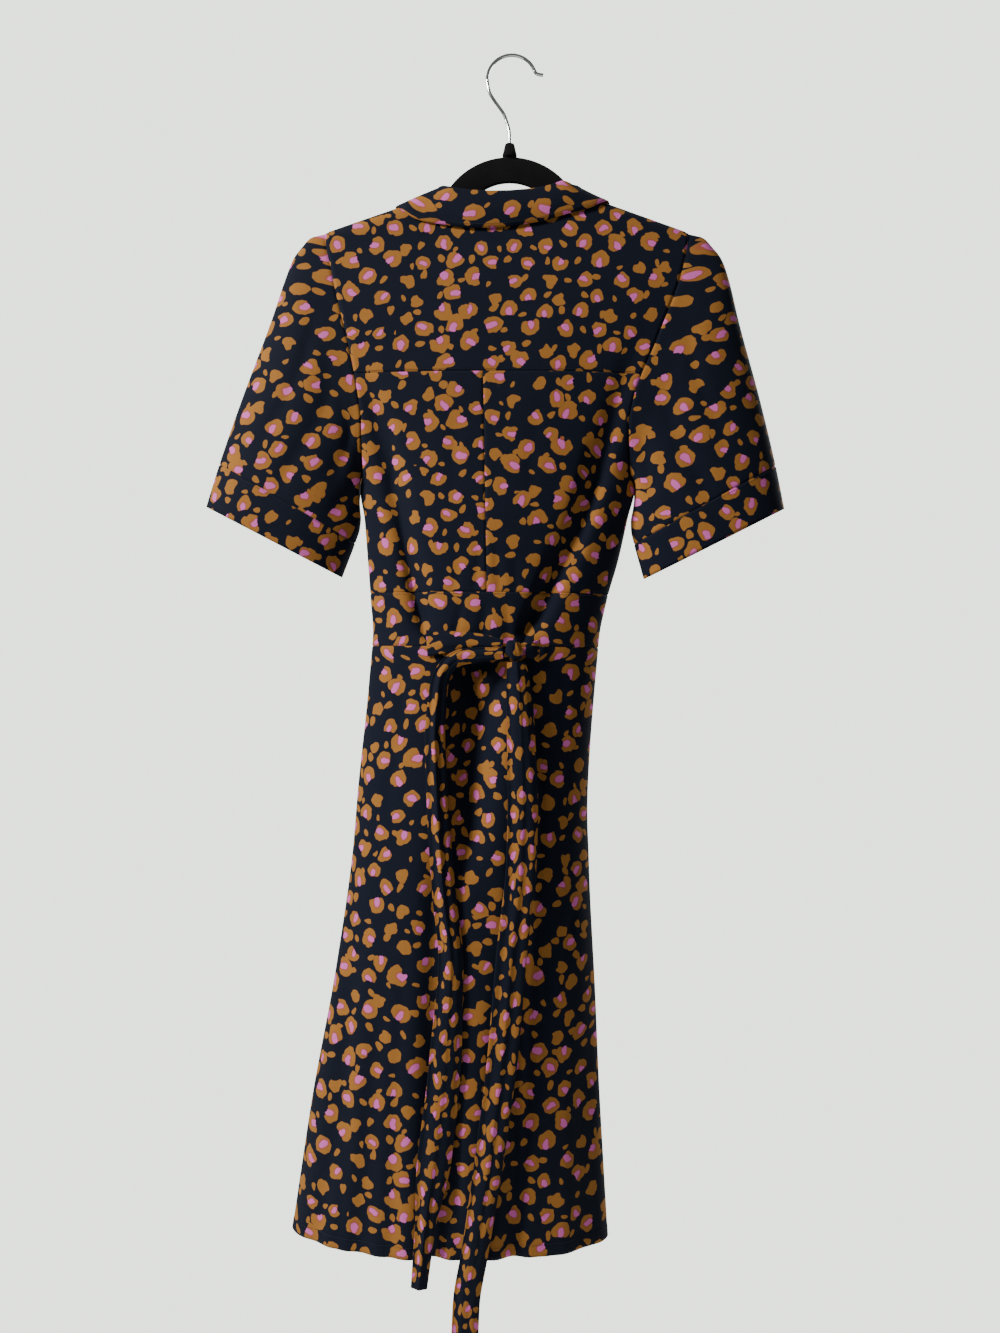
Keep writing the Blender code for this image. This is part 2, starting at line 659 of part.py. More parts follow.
def make_buttons():
    for i in range(BUTTONS):
        z = BUTTON_TOP - BUTTON_STEP * i
        point, normal = body_frame(u_of(0.0, z), path_at(0.0, z))
        out = WALL / 2 + SEAM + BUTTON_THICK / 2
        bm = bmesh.new()
        bmesh.ops.create_cone(bm, cap_ends=True, segments=14, radius1=BUTTON_RADIUS * MM,
                              radius2=BUTTON_RADIUS * MM, depth=BUTTON_THICK * MM)
        mesh = bpy.data.meshes.new("button_%02d" % (i + 1))
        bm.to_mesh(mesh)
        bm.free()
        item = add_object("button_%02d" % (i + 1), mesh, BUTTON, 0.35)
        item.rotation_euler = Vector(normal).to_track_quat("Z", "Y").to_euler()
        item.location = tilted(point + normal * out) * MM


def armhole_ring(share, side):
    """Edge of the armhole of the right shoulder by the share of its height."""
    top = ridge(RIDGE_MID + SHOULDER_HALF)
    z = top + (UNDERARM - top) * share
    half = body_at(z, "half")
    over = min((top - z) / RIDGE_ROUND, 1.0)
    depth = math.sqrt(1 - (1 - over) ** 2) * body_at(z, "edge")
    clear = ARMHOLE_CLEAR + UNDERARM_CLEAR * ease((UNDERARM + 71 - z) / 60)
    return np.array((half + clear, side * (depth + SEAM / 2), z))


def sleeve_point(along, around, mirror):
    """Point of a sleeve: around runs 0..1 from its outer edge down its back and up its front."""
    side = -1 if around < 0.5 else 1
    down = (1 - math.cos(2 * math.pi * around)) / 2
    outer = np.array((column(SLEEVE, 1, along), 0, column(SLEEVE, 2, along)))
    inner = np.array((column(SLEEVE, 3, along), 0, column(SLEEVE, 4, along)))
    flat = outer + (inner - outer) * down
    crown = (1 - abs(2 * down - 1) ** 2.4) ** 0.6
    flat[1] = side * column(SLEEVE, 5 if side < 0 else 6, along) * crown
    hole = armhole_ring(down, side)
    x_of_hole = hole - outer_start() * (1 - down) - inner_start() * down
    blend = 1 - ease(along / SLEEVE_JOIN)
    bow = np.array((x_of_hole[0], 0, 0)) * (1 - ease(along / (SLEEVE_JOIN * 2.2)))
    point = flat + bow
    point[1] = point[1] * (1 - blend) + hole[1] * blend
    start = hole - (flat + bow)
    point[0] += start[0] * (1 - ease(along / 0.05))
    held = down ** 2
    point[2] += (start[2] * held + x_of_hole[2] * (1 - held)) * (1 - ease(along / 0.3))
    mid = SLEEVE_MID * (1 - down) + body_at(UNDERARM, "mid") * down
    mid = mid * ease(along / 0.3) + body_at(point[2], "mid") * (1 - ease(along / 0.3))
    return np.array((mirror * point[0] + mid, point[1], point[2]))


def outer_start():
    return np.array((SLEEVE[0][1], 0.0, SLEEVE[0][2]))


def inner_start():
    return np.array((SLEEVE[0][3], 0.0, SLEEVE[0][4]))


def make_sleeve(name, mirror):
    """Set-in short sleeve, a closed tube, and the band sewn to its end."""
    def tube(first, last, rows):
        grid = []
        for i in range(SLEEVE_COLUMNS):
            turn = i / SLEEVE_COLUMNS if mirror < 0 else 1 - i / SLEEVE_COLUMNS
            grid.append([sleeve_point(first + (last - first) * j / rows, turn % 1.0, mirror)
                         for j in range(rows + 1)])
        return grid
    half_gap = SEAM / 2 / BAND_LONG * (1 - BAND_ALONG)
    wall("sleeve_" + name, tube(0.0, BAND_ALONG - half_gap, 9), closed=True)
    wall("sleeve_band_" + name, tube(BAND_ALONG + half_gap, 1.0, 2), closed=True)


def near_shoulder(x, path):
    """Point and direction of the body form near the neck, where x is given itself."""
    return body_frame(u_of(x, ridge(x) - 30), path)


def neck_seam(signed):
    """Foot of the collar at one place: from the left front end (-1) round the back to +1."""
    around, mirror = abs(signed), math.copysign(1.0, signed)
    path = column(COLLAR_SEAM, 2, around)
    x = RIDGE_MID + mirror * column(COLLAR_SEAM, 1, around)
    if path > SHOULDER_LAP:
        x = front_neck_x(path, mirror)
    return near_shoulder(x - mirror * STAND_INSET * ease(around / COLLAR_FULL), path)[0]


def collar_section(signed):
    """Middle line of the collar at one place, from the neck seam over the fold to its edge."""
    around, mirror = abs(signed), math.copysign(1.0, signed)
    table = COLLAR_LEFT if signed < 0 else COLLAR_RIGHT
    edge_away, edge_path, rise, lean, push, bow, clear = [column(table, k, around) for k in range(1, 8)]
    neck = neck_seam(signed)
    edge, edge_normal = near_shoulder(RIDGE_MID + mirror * edge_away, edge_path)
    edge = edge + edge_normal * clear
    rise_line = np.array((-mirror * lean, push, rise))
    up = rise_line / np.linalg.norm(rise_line)
    along = neck_seam(min(signed + COLLAR_STEP, 1.0)) - neck_seam(max(signed - COLLAR_STEP, -1.0))
    outward = np.cross(along, up)
    outward *= math.copysign(1.0, outward @ (edge - neck)) / np.linalg.norm(outward)
    line = [neck + up * (SEAM + WALL / 2), neck + rise_line * 0.55]
    centre = neck + rise_line + (outward - up) * COLLAR_ROLL
    for step in range(5):
        angle = math.pi * step / 4
        line.append(centre + (up * math.sin(angle) - outward * math.cos(angle)) * COLLAR_ROLL)
    last = line[-1]
    for share in (0.35, 0.7, 1.0):
        line.append(last + (edge - last) * share + outward * bow * math.sin(math.pi * share))
    return line


def make_collar():
    arounds = [-place for place in reversed(COLLAR_PLACES)] + [0.0] + list(COLLAR_PLACES)
    grid = [collar_section(around) for around in arounds]
    wall("collar", grid)


def strip(name, rows, columns, steps):
    """A tie's stretch: a band that follows its rows, creased along its length."""
    numbered = tuple((i, *row) for i, row in enumerate(rows))
    grid = [[] for _ in range(columns + 1)]
    for j in range(steps + 1):
        t = j / steps * (len(rows) - 1)
        value = [column(numbered, k, t) for k in range(1, 6)]
        low, high = max(t - 0.05, 0), min(t + 0.05, len(rows) - 1)
        run = [column(numbered, k, high) - column(numbered, k, low) for k in (1, 3)]
        across = np.array((-run[1], 0.0, run[0]))
        across /= np.linalg.norm(across)
        for i in range(columns + 1):
            s = -1 + 2 * i / columns
            crease = value[4] * (1 - abs(s)) ** 1.2
            middle = np.array(value[:3]) + across * value[3] * s
            middle[1] -= crease
            grid[i].append(untilted(middle))
    wall(name, grid, thick=TIE_WALL)


def untilted(point):
    """Undo the lean, for the ties, which hang plumb."""
    x, y, z = point
    return np.array((x, y, z - x * column(TILT, 1, z)))


def make_ties():
    strip("tie_root_left", ROOT_LEFT, 3, 8)
    strip("tie_root_right", ROOT_RIGHT, 3, 3)
    strip("tie_end_left", TAIL_LEFT, 4, 24)
    strip("tie_end_right", TAIL_RIGHT, 4, 20)
    bm = bmesh.new()
    bmesh.ops.create_uvsphere(bm, u_segments=16, v_segments=9, radius=1.0)
    bmesh.ops.scale(bm, vec=[r * MM for r in KNOT_RADII], verts=bm.verts)
    mesh = bpy.data.meshes.new("tie_knot")
    bm.to_mesh(mesh)
    bm.free()
    mesh.shade_smooth()
    item = add_object("tie_knot", mesh, NAVY, 0.72)
    item.location = [v * MM for v in KNOT]


def hanger_outline():
    """Outline of the moulded hanger in its own upright frame: top from left to right, and back."""
    def arm(x):
        return RIDGE_TOP - RIDGE_SLOPE * abs(x) - ARM_CLEAR

    def arc(radius, reach, steps):
        xs = [-reach + 2 * reach * i / steps for i in range(steps + 1)]
        return [(x, ARCH_CENTRE + math.sqrt(radius ** 2 - x * x)) for x in xs]
    tip = arm(ARM_HALF) - ARM_DEEP / 2
    bevel = ARM_HALF - ARM_TIP
    right_tip = [(bevel, arm(bevel)), (ARM_HALF, tip + ARM_TIP / 2),
                 (ARM_HALF, tip - ARM_TIP / 2), (bevel, arm(bevel) - ARM_DEEP)]
    left_tip = [(-x, z) for x, z in reversed(right_tip)]
    return (arc(ARCH_OUTER, ARCH_FOOT, 16) + right_tip
            + list(reversed(arc(ARCH_INNER, ARCH_INNER_FOOT, 8))) + left_tip)


def hang_matrix():
    """Turn of the hanger's rigid parts about the middle of the hook."""
    centre = Vector((0, 0, (WIRE_RADIUS - HOOK_RADIUS) * MM))
    turn = Matrix.Rotation(-HANG_TILT, 4, "Y")
    shift = Matrix.Translation((HANG_SHIFT * MM, 0, 0))
    return Matrix.Translation(centre) @ turn @ Matrix.Translation(-centre) @ shift


def make_hanger():
    curve = bpy.data.curves.new("hanger_body", "CURVE")
    curve.dimensions = "2D"
    curve.fill_mode = "BOTH"
    curve.extrude = HANGER_THICK / 2 * MM
    outline = hanger_outline()
    spline = curve.splines.new("POLY")
    spline.points.add(len(outline) - 1)
    for point, (x, z) in zip(spline.points, outline):
        point.co = (x * MM, z * MM, 0, 1)
    spline.use_cyclic_u = True
    item = add_object("hanger_body", curve, FLOCK, 0.95)
    item.matrix_world = hang_matrix() @ Matrix.Rotation(math.radians(90), 4, "X")


def make_nub():
    """Moulded nub that the hook is set in."""
    foot = ARCH_CENTRE + ARCH_OUTER + SEAM
    bm = bmesh.new()
    wide, narrow = NUB_RADII
    bmesh.ops.create_cone(bm, cap_ends=True, segments=20, radius1=wide * MM, radius2=narrow * MM,
                          depth=(NUB_TOP - foot) * MM)
    bmesh.ops.scale(bm, vec=(1, NUB_FLAT, 1), verts=bm.verts)
    mesh = bpy.data.meshes.new("hanger_nub")
    bm.to_mesh(mesh)
    bm.free()
    mesh.shade_smooth()
    mesh.set_sharp_from_angle(angle=math.radians(40))
    item = add_object("hanger_nub", mesh, FLOCK, 0.95)
    item.matrix_world = hang_matrix() @ Matrix.Translation((0, 0, (NUB_TOP + foot) / 2 * MM))


def hook_path():
    """Middle of the wire: a flared end, the round hook, and an S bend into the stem."""
    centre_z = WIRE_RADIUS - HOOK_RADIUS
    first, last = HOOK_ENDS
    steps = 14
    arc = []
    for i in range(steps + 1):
        angle = math.radians(first + (last - first) * i / steps)
        arc.append((HOOK_RADIUS * math.cos(angle), centre_z + HOOK_RADIUS * math.sin(angle)))
    turn = hang_matrix()
    stem = [turn @ Vector((0, 0, z * MM)) / MM for z in (NUB_TOP + STEM_IN, NUB_TOP + 2 * SEAM)]
    return list(HOOK_FLARE) + arc[1:] + list(HOOK_BEND) + [(foot.x, foot.z) for foot in stem]


def make_hook():
    curve = bpy.data.curves.new("hanger_hook", "CURVE")
    curve.dimensions = "3D"
    curve.bevel_depth = WIRE_RADIUS * MM
    curve.bevel_resolution = 2
    curve.use_fill_caps = True
    path = hook_path()
    spline = curve.splines.new("POLY")
    spline.points.add(len(path) - 1)
    for point, (x, z) in zip(spline.points, path):
        point.co = (x * MM, 0, z * MM, 1)
    add_object("hanger_hook", curve, CHROME, 0.15, 1.0)


def make_dress():
    clear_scene()
    make_yoke()
    make_back()
    make_front("front_left", -1)
    make_front("front_right", 1)
    make_waist_and_skirt()
    make_button_band()
    make_buttons()
    make_sleeve("left", -1)
    make_sleeve("right", 1)
    make_collar()
    make_ties()
    make_hanger()
    make_nub()
    make_hook()


make_dress()
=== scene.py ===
import math
import bpy
import bmesh
import numpy as np
from mathutils import Matrix, Vector


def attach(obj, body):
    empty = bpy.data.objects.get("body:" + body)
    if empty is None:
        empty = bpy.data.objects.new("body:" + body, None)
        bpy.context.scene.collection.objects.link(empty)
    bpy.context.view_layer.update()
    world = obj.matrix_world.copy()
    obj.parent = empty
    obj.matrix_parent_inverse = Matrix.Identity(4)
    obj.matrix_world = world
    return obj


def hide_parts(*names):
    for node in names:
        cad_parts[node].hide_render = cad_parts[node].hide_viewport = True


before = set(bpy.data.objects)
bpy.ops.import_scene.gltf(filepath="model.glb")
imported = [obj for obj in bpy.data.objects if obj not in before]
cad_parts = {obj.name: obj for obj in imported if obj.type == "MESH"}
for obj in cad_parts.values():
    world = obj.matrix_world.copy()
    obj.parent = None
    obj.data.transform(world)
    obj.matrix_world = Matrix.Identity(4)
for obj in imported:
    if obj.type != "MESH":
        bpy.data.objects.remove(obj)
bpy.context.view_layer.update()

# ---------------------------------------------------------------- hook
# Bent steel wire, chromed, that the hanger hangs by: a round hook with a flared, rounded
# end, an S bend under it, and a straight stem that is set in the hanger's nub.
HANGER_TILT = math.radians(3.0)
HANGER_ASIDE = 2.5        # how far the upright hanger is drawn to the right of its tilted place
HOOK_MIDDLE = -27.0       # height of the middle of the hook's round
HOOK_ROUND = 28.9         # from there to the middle of the wire
WIRE = 1.9                # half the wire's thickness
WIRE_SIDES = 20


def material(name, roughness, metallic=0.0):
    made = bpy.data.materials.new(name)
    made.use_nodes = True
    shader = made.node_tree.nodes["Principled BSDF"]
    shader.inputs["Roughness"].default_value = roughness
    shader.inputs["Metallic"].default_value = metallic
    return made, made.node_tree, shader


def node(tree, kind, *values, **settings):
    """A shader node with its settings, and its inputs in order: a link, a number, or None."""
    made = tree.nodes.new(kind)
    for key, value in settings.items():
        setattr(made, key, value)
    for socket, value in zip(made.inputs, values):
        if isinstance(value, bpy.types.NodeSocket):
            tree.links.new(value, socket)
        elif value is not None:
            socket.default_value = value
    return made


def speckle(tree, scale, detail):
    """Noise over the piece's own coordinates."""
    place = node(tree, "ShaderNodeTexCoord").outputs["Object"]
    return node(tree, "ShaderNodeTexNoise", place, None, scale, detail).outputs["Fac"]


def tones(tree, shader, mask, dark, light):
    """Base colour that goes from a dark to a light tone with a mask."""
    ramp = node(tree, "ShaderNodeValToRGB", mask)
    for element, colour in zip(ramp.color_ramp.elements, (dark, light)):
        element.color = (*colour, 1)
    tree.links.new(ramp.outputs["Color"], shader.inputs["Base Color"])


def bump(tree, shader, height, distance, strength):
    made = node(tree, "ShaderNodeBump")
    made.inputs["Strength"].default_value = strength
    made.inputs["Distance"].default_value = distance
    tree.links.new(height, made.inputs["Height"])
    tree.links.new(made.outputs["Normal"], shader.inputs["Normal"])


def in_scene(name, data):
    made = bpy.data.objects.new(name, data)
    bpy.context.scene.collection.objects.link(made)
    return made


def piece(name, mesh, finish, stands_for=()):
    """A piece of the object, in its finish, that takes the place of parts of the model."""
    made = in_scene(name, mesh)
    mesh.materials.clear()
    mesh.materials.append(finish)
    mesh.shade_smooth()
    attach(made, "root")
    if stands_for:
        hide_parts(*stands_for)
    return made


def hang(x, z):
    """A point of the upright hanger, in millimetres, where the tilted hanger has it."""
    x, z = x - HANGER_ASIDE, z - HOOK_MIDDLE
    return (x * math.cos(HANGER_TILT) - z * math.sin(HANGER_TILT),
            x * math.sin(HANGER_TILT) + z * math.cos(HANGER_TILT) + HOOK_MIDDLE)


def circle(radius, count, start=0.0):
    """Points round a circle."""
    turns = [start + 2 * math.pi * k / count for k in range(count)]
    return [(radius * math.cos(turn), radius * math.sin(turn)) for turn in turns]


def loft(bm, rings):
    """Faces from each ring of vertices to the next, and over the first and the last."""
    for first, second in zip(rings, rings[1:]):
        for k in range(len(first)):
            bm.faces.new((first[k - 1], first[k], second[k], second[k - 1]))
    bm.faces.new(rings[0][::-1])
    bm.faces.new(rings[-1])


def mesh_of(bm, name):
    """The mesh of closed bodies, with their faces turned outwards."""
    bmesh.ops.recalc_face_normals(bm, faces=bm.faces)
    mesh = bpy.data.meshes.new(name)
    bm.to_mesh(mesh)
    bm.free()
    return mesh


def wire_mesh(name, path, radius):
    """A round wire along a path in the plane of the hanger, with rounded ends."""
    path = np.array(path)
    run = np.gradient(path, axis=0)
    run /= np.linalg.norm(run, axis=1, keepdims=True)
    side = np.stack((-run[:, 1], run[:, 0]), axis=1)
    bm = bmesh.new()
    rings = []
    stations = [(0, -t) for t in (0.96, 0.8, 0.5)] + [(i, 0.0) for i in range(len(path))]
    stations += [(len(path) - 1, t) for t in (0.5, 0.8, 0.96)]
    for i, cap in stations:
        centre = path[i] + run[i] * cap * radius
        ring = []
        for out, y in circle(radius * math.sqrt(1 - cap * cap), WIRE_SIDES):
            x, z = centre + side[i] * out
            ring.append(bm.verts.new((x / 1000, y / 1000, z / 1000)))
        rings.append(ring)
    loft(bm, rings[::-1])
    return mesh_of(bm, name)


def smooth_path(points, steps):
    """Catmull-Rom curve through points, without its doubled ends."""
    points = np.array([points[0], *points, points[-1]], dtype=float)
    line = []
    for i in range(1, len(points) - 2):
        a, b, c, d = points[i - 1:i + 3]
        for t in np.arange(steps) / steps:
            line.append(0.5 * (2 * b + (c - a) * t + (2 * a - 5 * b + 4 * c - d) * t * t
                               + (3 * b - a - 3 * c + d) * t ** 3))
    return line + [points[-2]]


chrome, tree, shader = material("chromed_wire", 0.12, 1.0)
stains = speckle(tree, 240.0, 3.0)
tones(tree, shader, stains, (0.55, 0.56, 0.58), (0.80, 0.81, 0.82))
draw = node(tree, "ShaderNodeMapRange", stains, 0.3, 0.7, 0.08, 0.2)
tree.links.new(draw.outputs["Result"], shader.inputs["Roughness"])

hook_arc = []
for angle in np.radians(np.linspace(26, 188, 14)):
    hook_arc.append((HOOK_ROUND * math.cos(angle), HOOK_MIDDLE + HOOK_ROUND * math.sin(angle)))
hook_line = [(35.5, -19.6), (31.0, -19.2), (27.6, -17.4)] + hook_arc
hook_line += [(-25.5, -43.0), (-20.0, -51.8), (-13.4, -60.0), (-7.2, -68.2), (-3.2, -77.5)]
hook_line += [(-0.4, -86.0), hang(0, -94.0), hang(0, -103.5)]
piece("hook_wire", wire_mesh("hook_wire", smooth_path(hook_line, 6), WIRE), chrome,
      ["hanger_hook"])

# ---------------------------------------------------------------- hanger
# Slim moulded hanger, flocked all over: an arch that carries the nub of the hook, and two
# arms that slope down inside the shoulders. The section is rounded.
flocking, tree, shader = material("black_flocking", 0.95)
shader.inputs["Sheen Weight"].default_value = 0.55
shader.inputs["Sheen Roughness"].default_value = 0.35
shader.inputs["Sheen Tint"].default_value = (0.5, 0.5, 0.55, 1)
shader.inputs["Specular IOR Level"].default_value = 0.1
pile, brushed = speckle(tree, 1500.0, 2.0), speckle(tree, 60.0, 3.0)
mixed = node(tree, "ShaderNodeMath", pile, brushed, operation="MULTIPLY").outputs["Value"]
tones(tree, shader, mixed, (0.0015, 0.0015, 0.0018), (0.011, 0.011, 0.013))
bump(tree, shader, pile, 0.0004, 0.7)
ARM_SLOPE = 0.351
MIDDLE = 4.0              # the dress's middle, over the hanger's


def ridge(x):
    """Height at which the cloth turns over the hanger, before the dress's tilt."""
    return -134.0 - ARM_SLOPE * np.abs(x - MIDDLE)


def on_hanger(x, y, z):
    across, up = hang(x, z)
    return across / 1000, y / 1000, up / 1000


def hanger_mesh():
    def arm(x):
        return -138.0 - ARM_SLOPE * abs(x)

    def arc(radius, reach, steps):
        xs = np.linspace(-reach, reach, steps + 1)
        return [(x, -207.0 + math.sqrt(radius ** 2 - x * x)) for x in xs]
    tip = arm(200.0) - 7.0
    right = [(194.0, arm(194.0)), (198.6, arm(198.6) - 1.4), (200.0, tip + 2), (199.6, tip - 2.6),
             (197.6, tip - 5.2), (194.0, arm(194.0) - 14.0)]
    outline = arc(88.0, 77.5, 40) + right + arc(58.0, 41.0, 24)[::-1]
    outline += [(-x, z) for x, z in right[::-1]]
    points = np.array(outline)
    ahead, behind = np.roll(points, -1, axis=0), np.roll(points, 1, axis=0)
    run = (ahead - points) / np.linalg.norm(ahead - points, axis=1, keepdims=True)
    run = run + (points - behind) / np.linalg.norm(points - behind, axis=1, keepdims=True)
    run /= np.linalg.norm(run, axis=1, keepdims=True)
    inward = np.stack((run[:, 1], -run[:, 0]), axis=1)
    bm = bmesh.new()
    loops = []
    for inset, depth in ((1.9, -2.75), (0.9, -2.5), (0.2, -1.7), (0.0, 0.0), (0.2, 1.7),
                         (0.9, 2.5), (1.9, 2.75)):
        loops.append([bm.verts.new(on_hanger(x, depth, z)) for x, z in points + inward * inset])
    loft(bm, loops[::-1])
    bmesh.ops.recalc_face_normals(bm, faces=bm.faces)
    bmesh.ops.triangulate(bm, faces=[face for face in bm.faces if len(face.verts) > 4])
    return mesh_of(bm, "hanger_arms")


def nub_mesh():
    """The nub, a moulded collar a little flattened from front to back."""
    bm = bmesh.new()
    profile = [(8.0, -119.0), (8.6, -117.5), (8.0, -114.0), (6.9, -110.0), (6.1, -106.0),
               (5.4, -103.6), (4.2, -102.8), (2.2, -102.6)]
    loft(bm, [[bm.verts.new(on_hanger(x, y * 0.75, height)) for x, y in circle(radius, 28)]
              for radius, height in profile])
    return mesh_of(bm, "hanger_nub_flocked")


hanger = piece("hanger_arms", hanger_mesh(), flocking, ["hanger_body"])
hanger.data.set_sharp_from_angle(angle=math.radians(50))
piece("hanger_nub_flocked", nub_mesh(), flocking, ["hanger_nub"])

# ---------------------------------------------------------------- back yoke
# Yoke of printed cotton, cut in one from the seam across the back over both shoulders to the
# seams just before them. The whole dress lies on one body form: the yoke's section has it.
V_POINT, YOKE_SEAM, UNDERARM = -352.0, -380.0, -511.0
WAIST_TOP, WAIST_BOTTOM, HEM = -635.0, -697.0, -1385.0
RIDGE_ROUND = 16.0        # radius at which the cloth turns over the shoulders
RIDGE_ARC = RIDGE_ROUND * math.pi / 2
SHOULDER_LAP = 20.0       # from the ridge down the front to the shoulder seam
SEAM_GAP = 0.15           # half the gap between two pieces that are sewn together
BODY = (
    # z, half, mid, edge, back, front, flat
    (-150, 213.0, 4.0, 8, 9, 8, 1.0),
    (-212, 213.0, 4.0, 8, 13, 10, 1.0),
    (-264, 203.0, 6.0, 14, 20, 13, 1.0),
    (-338, 180.0, 4.5, 20, 29, 18, 1.0),
    (-409, 159.0, 1.0, 22, 34, 21, 0.95),
    (-438, 155.0, 1.5, 20, 35, 21, 0.9),
    (-490, 155.5, 5.0, 10, 38, 22, 0.7),
    (-511, 161.5, 8.5, 0, 39, 22, 0.6),
    (-545, 155.0, 8.5, 0, 41, 22, 0.6),
    (-594, 147.5, 7.5, 0, 42, 21, 0.6),
    (-641, 139.0, 5.0, 0, 44, 20, 0.6),
    (-690, 133.0, 4.0, 0, 46, 20, 0.6),
    (-747, 133.0, 2.0, 0, 49, 20, 0.6),
    (-878, 135.5, -2.0, 0, 55, 22, 0.6),
    (-949, 139.5, -0.5, 0, 58, 23, 0.6),
    (-1078, 152.0, 0.0, 0, 61, 24, 0.6),
    (-1232, 169.5, -2.5, 0, 64, 26, 0.6),
    (-1385, 185.5, -1.5, 0, 66, 28, 0.6),
)
TILT = ((-400.0, 0.0524), (-700.0, 0.0450), (-1385.0, 0.0262))
BACK_FOLDS = [
    # z1, x1, z2, x2, z3, x3, width top and bottom, depth top and bottom, fade top and bottom
    (-325, -176, -520, -109, -700, -60, 14, 13, 9, 10, 0.3, 0.1),
    (-310, 172, -520, 115, -700, 46, 14, 13, 13, 12, 0.3, 0.1),
    (-699, -2, -830, -1, -985, 2, 27, 13, 32, 6, 0.06, 0.3),
    (-850, -40, -1040, -33, -1385, -18, 14, 17, 8, 12, 0.3, 0.0),
    (-740, 66, -980, 64, -1385, 72, 14, 18, 10, 12, 0.2, 0.0),
    (-950, -130, -1214, -134, -1385, -156, 13, 15, 5, 6, 0.3, 0.0),
    (-1020, -92, -1200, -96, -1385, -101, 13, 17, 3, 6, 0.4, 0.0),
    (-1110, 140, -1230, 144, -1385, 153, 13, 15, 5, 6, 0.4, 0.0),
    (-1060, 106, -1220, 109, -1385, 113, 13, 16, 2, 4, 0.4, 0.0),
]
FRONT_FOLDS = [
    (-330, -140, -480, -112, -640, -78, 15, 12, 5, 5, 0.4, 0.2),
    (-330, 150, -480, 122, -640, 86, 15, 12, 5, 5, 0.4, 0.2),
    (-740, -88, -1050, -108, -1385, -126, 14, 18, 4, 7, 0.3, 0.0),
    (-710, -46, -1050, -60, -1385, -74, 12, 16, 5, 8, 0.3, 0.0),
    (-710, 50, -1050, 62, -1385, 70, 12, 16, 5, 8, 0.3, 0.0),
    (-760, 90, -1050, 106, -1385, 121, 14, 18, 4, 7, 0.3, 0.0),
]
# Soft creases and puckers over the main folds, in the same columns
BACK_FOLDS += [
    (-398, -128, -470, -116, -560, -112, 5, 4, 1.6, 0.8, 0.4, 0.5),
    (-420, 118, -500, 104, -600, 82, 5, 4, 1.8, 1.0, 0.4, 0.5),
    (-470, 128, -560, 112, -634, 96, 5, 5, 1.4, 1.6, 0.4, 0.2),
    (-703, -15, -840, -13, -1010, -6, 11, 9, 10, 5, 0.08, 0.4),
    (-430, 126, -560, 92, -696, 45, 3.5, 2.8, 1.6, 4.2, 0.5, 0.02),
    (-500, 92, -600, 68, -690, 40, 4, 4, 0.8, 2.2, 0.6, 0.04),
    (-470, -116, -600, -92, -696, -62, 3.5, 2.8, 1.4, 3.8, 0.5, 0.02),
    (-548, -8, -590, -9, -634, -11, 3, 3, 0.8, 1.8, 0.6, 0.05),
    (-560, 10, -600, 13, -634, 17, 3, 3, 0.8, 1.8, 0.6, 0.05),
    (-575, 30, -605, 33, -634, 36, 3, 3, 0.6, 1.4, 0.6, 0.05),
    (-580, -30, -610, -33, -634, -35, 3, 3, 0.6, 1.4, 0.6, 0.05),
    (-570, -92, -604, -86, -634, -80, 4, 4, 0.8, 1.4, 0.6, 0.1),
    (-388, -40, -470, -44, -560, -40, 9, 7, 0.8, 0.9, 0.5, 0.5),
    (-390, 52, -480, 46, -570, 50, 9, 7, 0.8, 0.9, 0.5, 0.5),
    (-640, -24, -668, -28, -696, -34, 4, 5, 1.0, 2.0, 0.3, 0.05),
    (-640, 24, -668, 28, -696, 30, 4, 5, 1.0, 2.2, 0.3, 0.05),
    (-640, 2, -668, 1, -696, 0, 5, 7, 1.0, 3.0, 0.3, 0.02),
    (-700, -84, -820, -92, -960, -104, 7, 9, 1.2, 1.4, 0.2, 0.5),
    (-705, 92, -800, 98, -900, 108, 6, 8, 1.4, 1.0, 0.2, 0.5),
    (-985, 121, -1024, 119, -1066, 114, 5, 5, 2.4, 1.6, 0.3, 0.4),
    (-930, 143, -1168, 152, -1385, 166, 6, 8, 1.6, 2.6, 0.3, 0.0),
    (-900, -8, -1110, -14, -1385, 12, 7, 10, 2.4, 5.0, 0.4, 0.0),
    (-960, 30, -1150, 36, -1385, 42, 8, 9, 1.8, 4.0, 0.4, 0.0),
    (-1000, -66, -1200, -70, -1385, -66, 8, 10, 1.6, 3.6, 0.4, 0.0),
    (-1080, 92, -1230, 94, -1385, 98, 6, 9, 1.0, 2.6, 0.4, 0.0),
    (-1180, -120, -1290, -124, -1385, -128, 6, 8, 0.8, 2.4, 0.4, 0.0),
]
FRONT_FOLDS += [
    (-400, -60, -480, -58, -560, -62, 8, 7, 0.9, 0.9, 0.5, 0.5),
    (-420, 70, -500, 66, -590, 62, 8, 7, 0.9, 0.9, 0.5, 0.5),
    (-560, -100, -600, -94, -634, -88, 4, 4, 0.8, 1.5, 0.6, 0.1),
    (-556, 104, -600, 98, -634, 92, 4, 4, 0.8, 1.5, 0.6, 0.1),
    (-900, -30, -1150, -40, -1385, -46, 8, 10, 1.2, 3.0, 0.4, 0.0),
    (-880, 34, -1120, 42, -1385, 50, 8, 10, 1.2, 3.0, 0.4, 0.0),
    (-1000, 140, -1200, 148, -1385, 160, 7, 9, 1.2, 2.6, 0.4, 0.0),
    (-1000, -140, -1200, -150, -1385, -162, 7, 9, 1.2, 2.6, 0.4, 0.0),
]


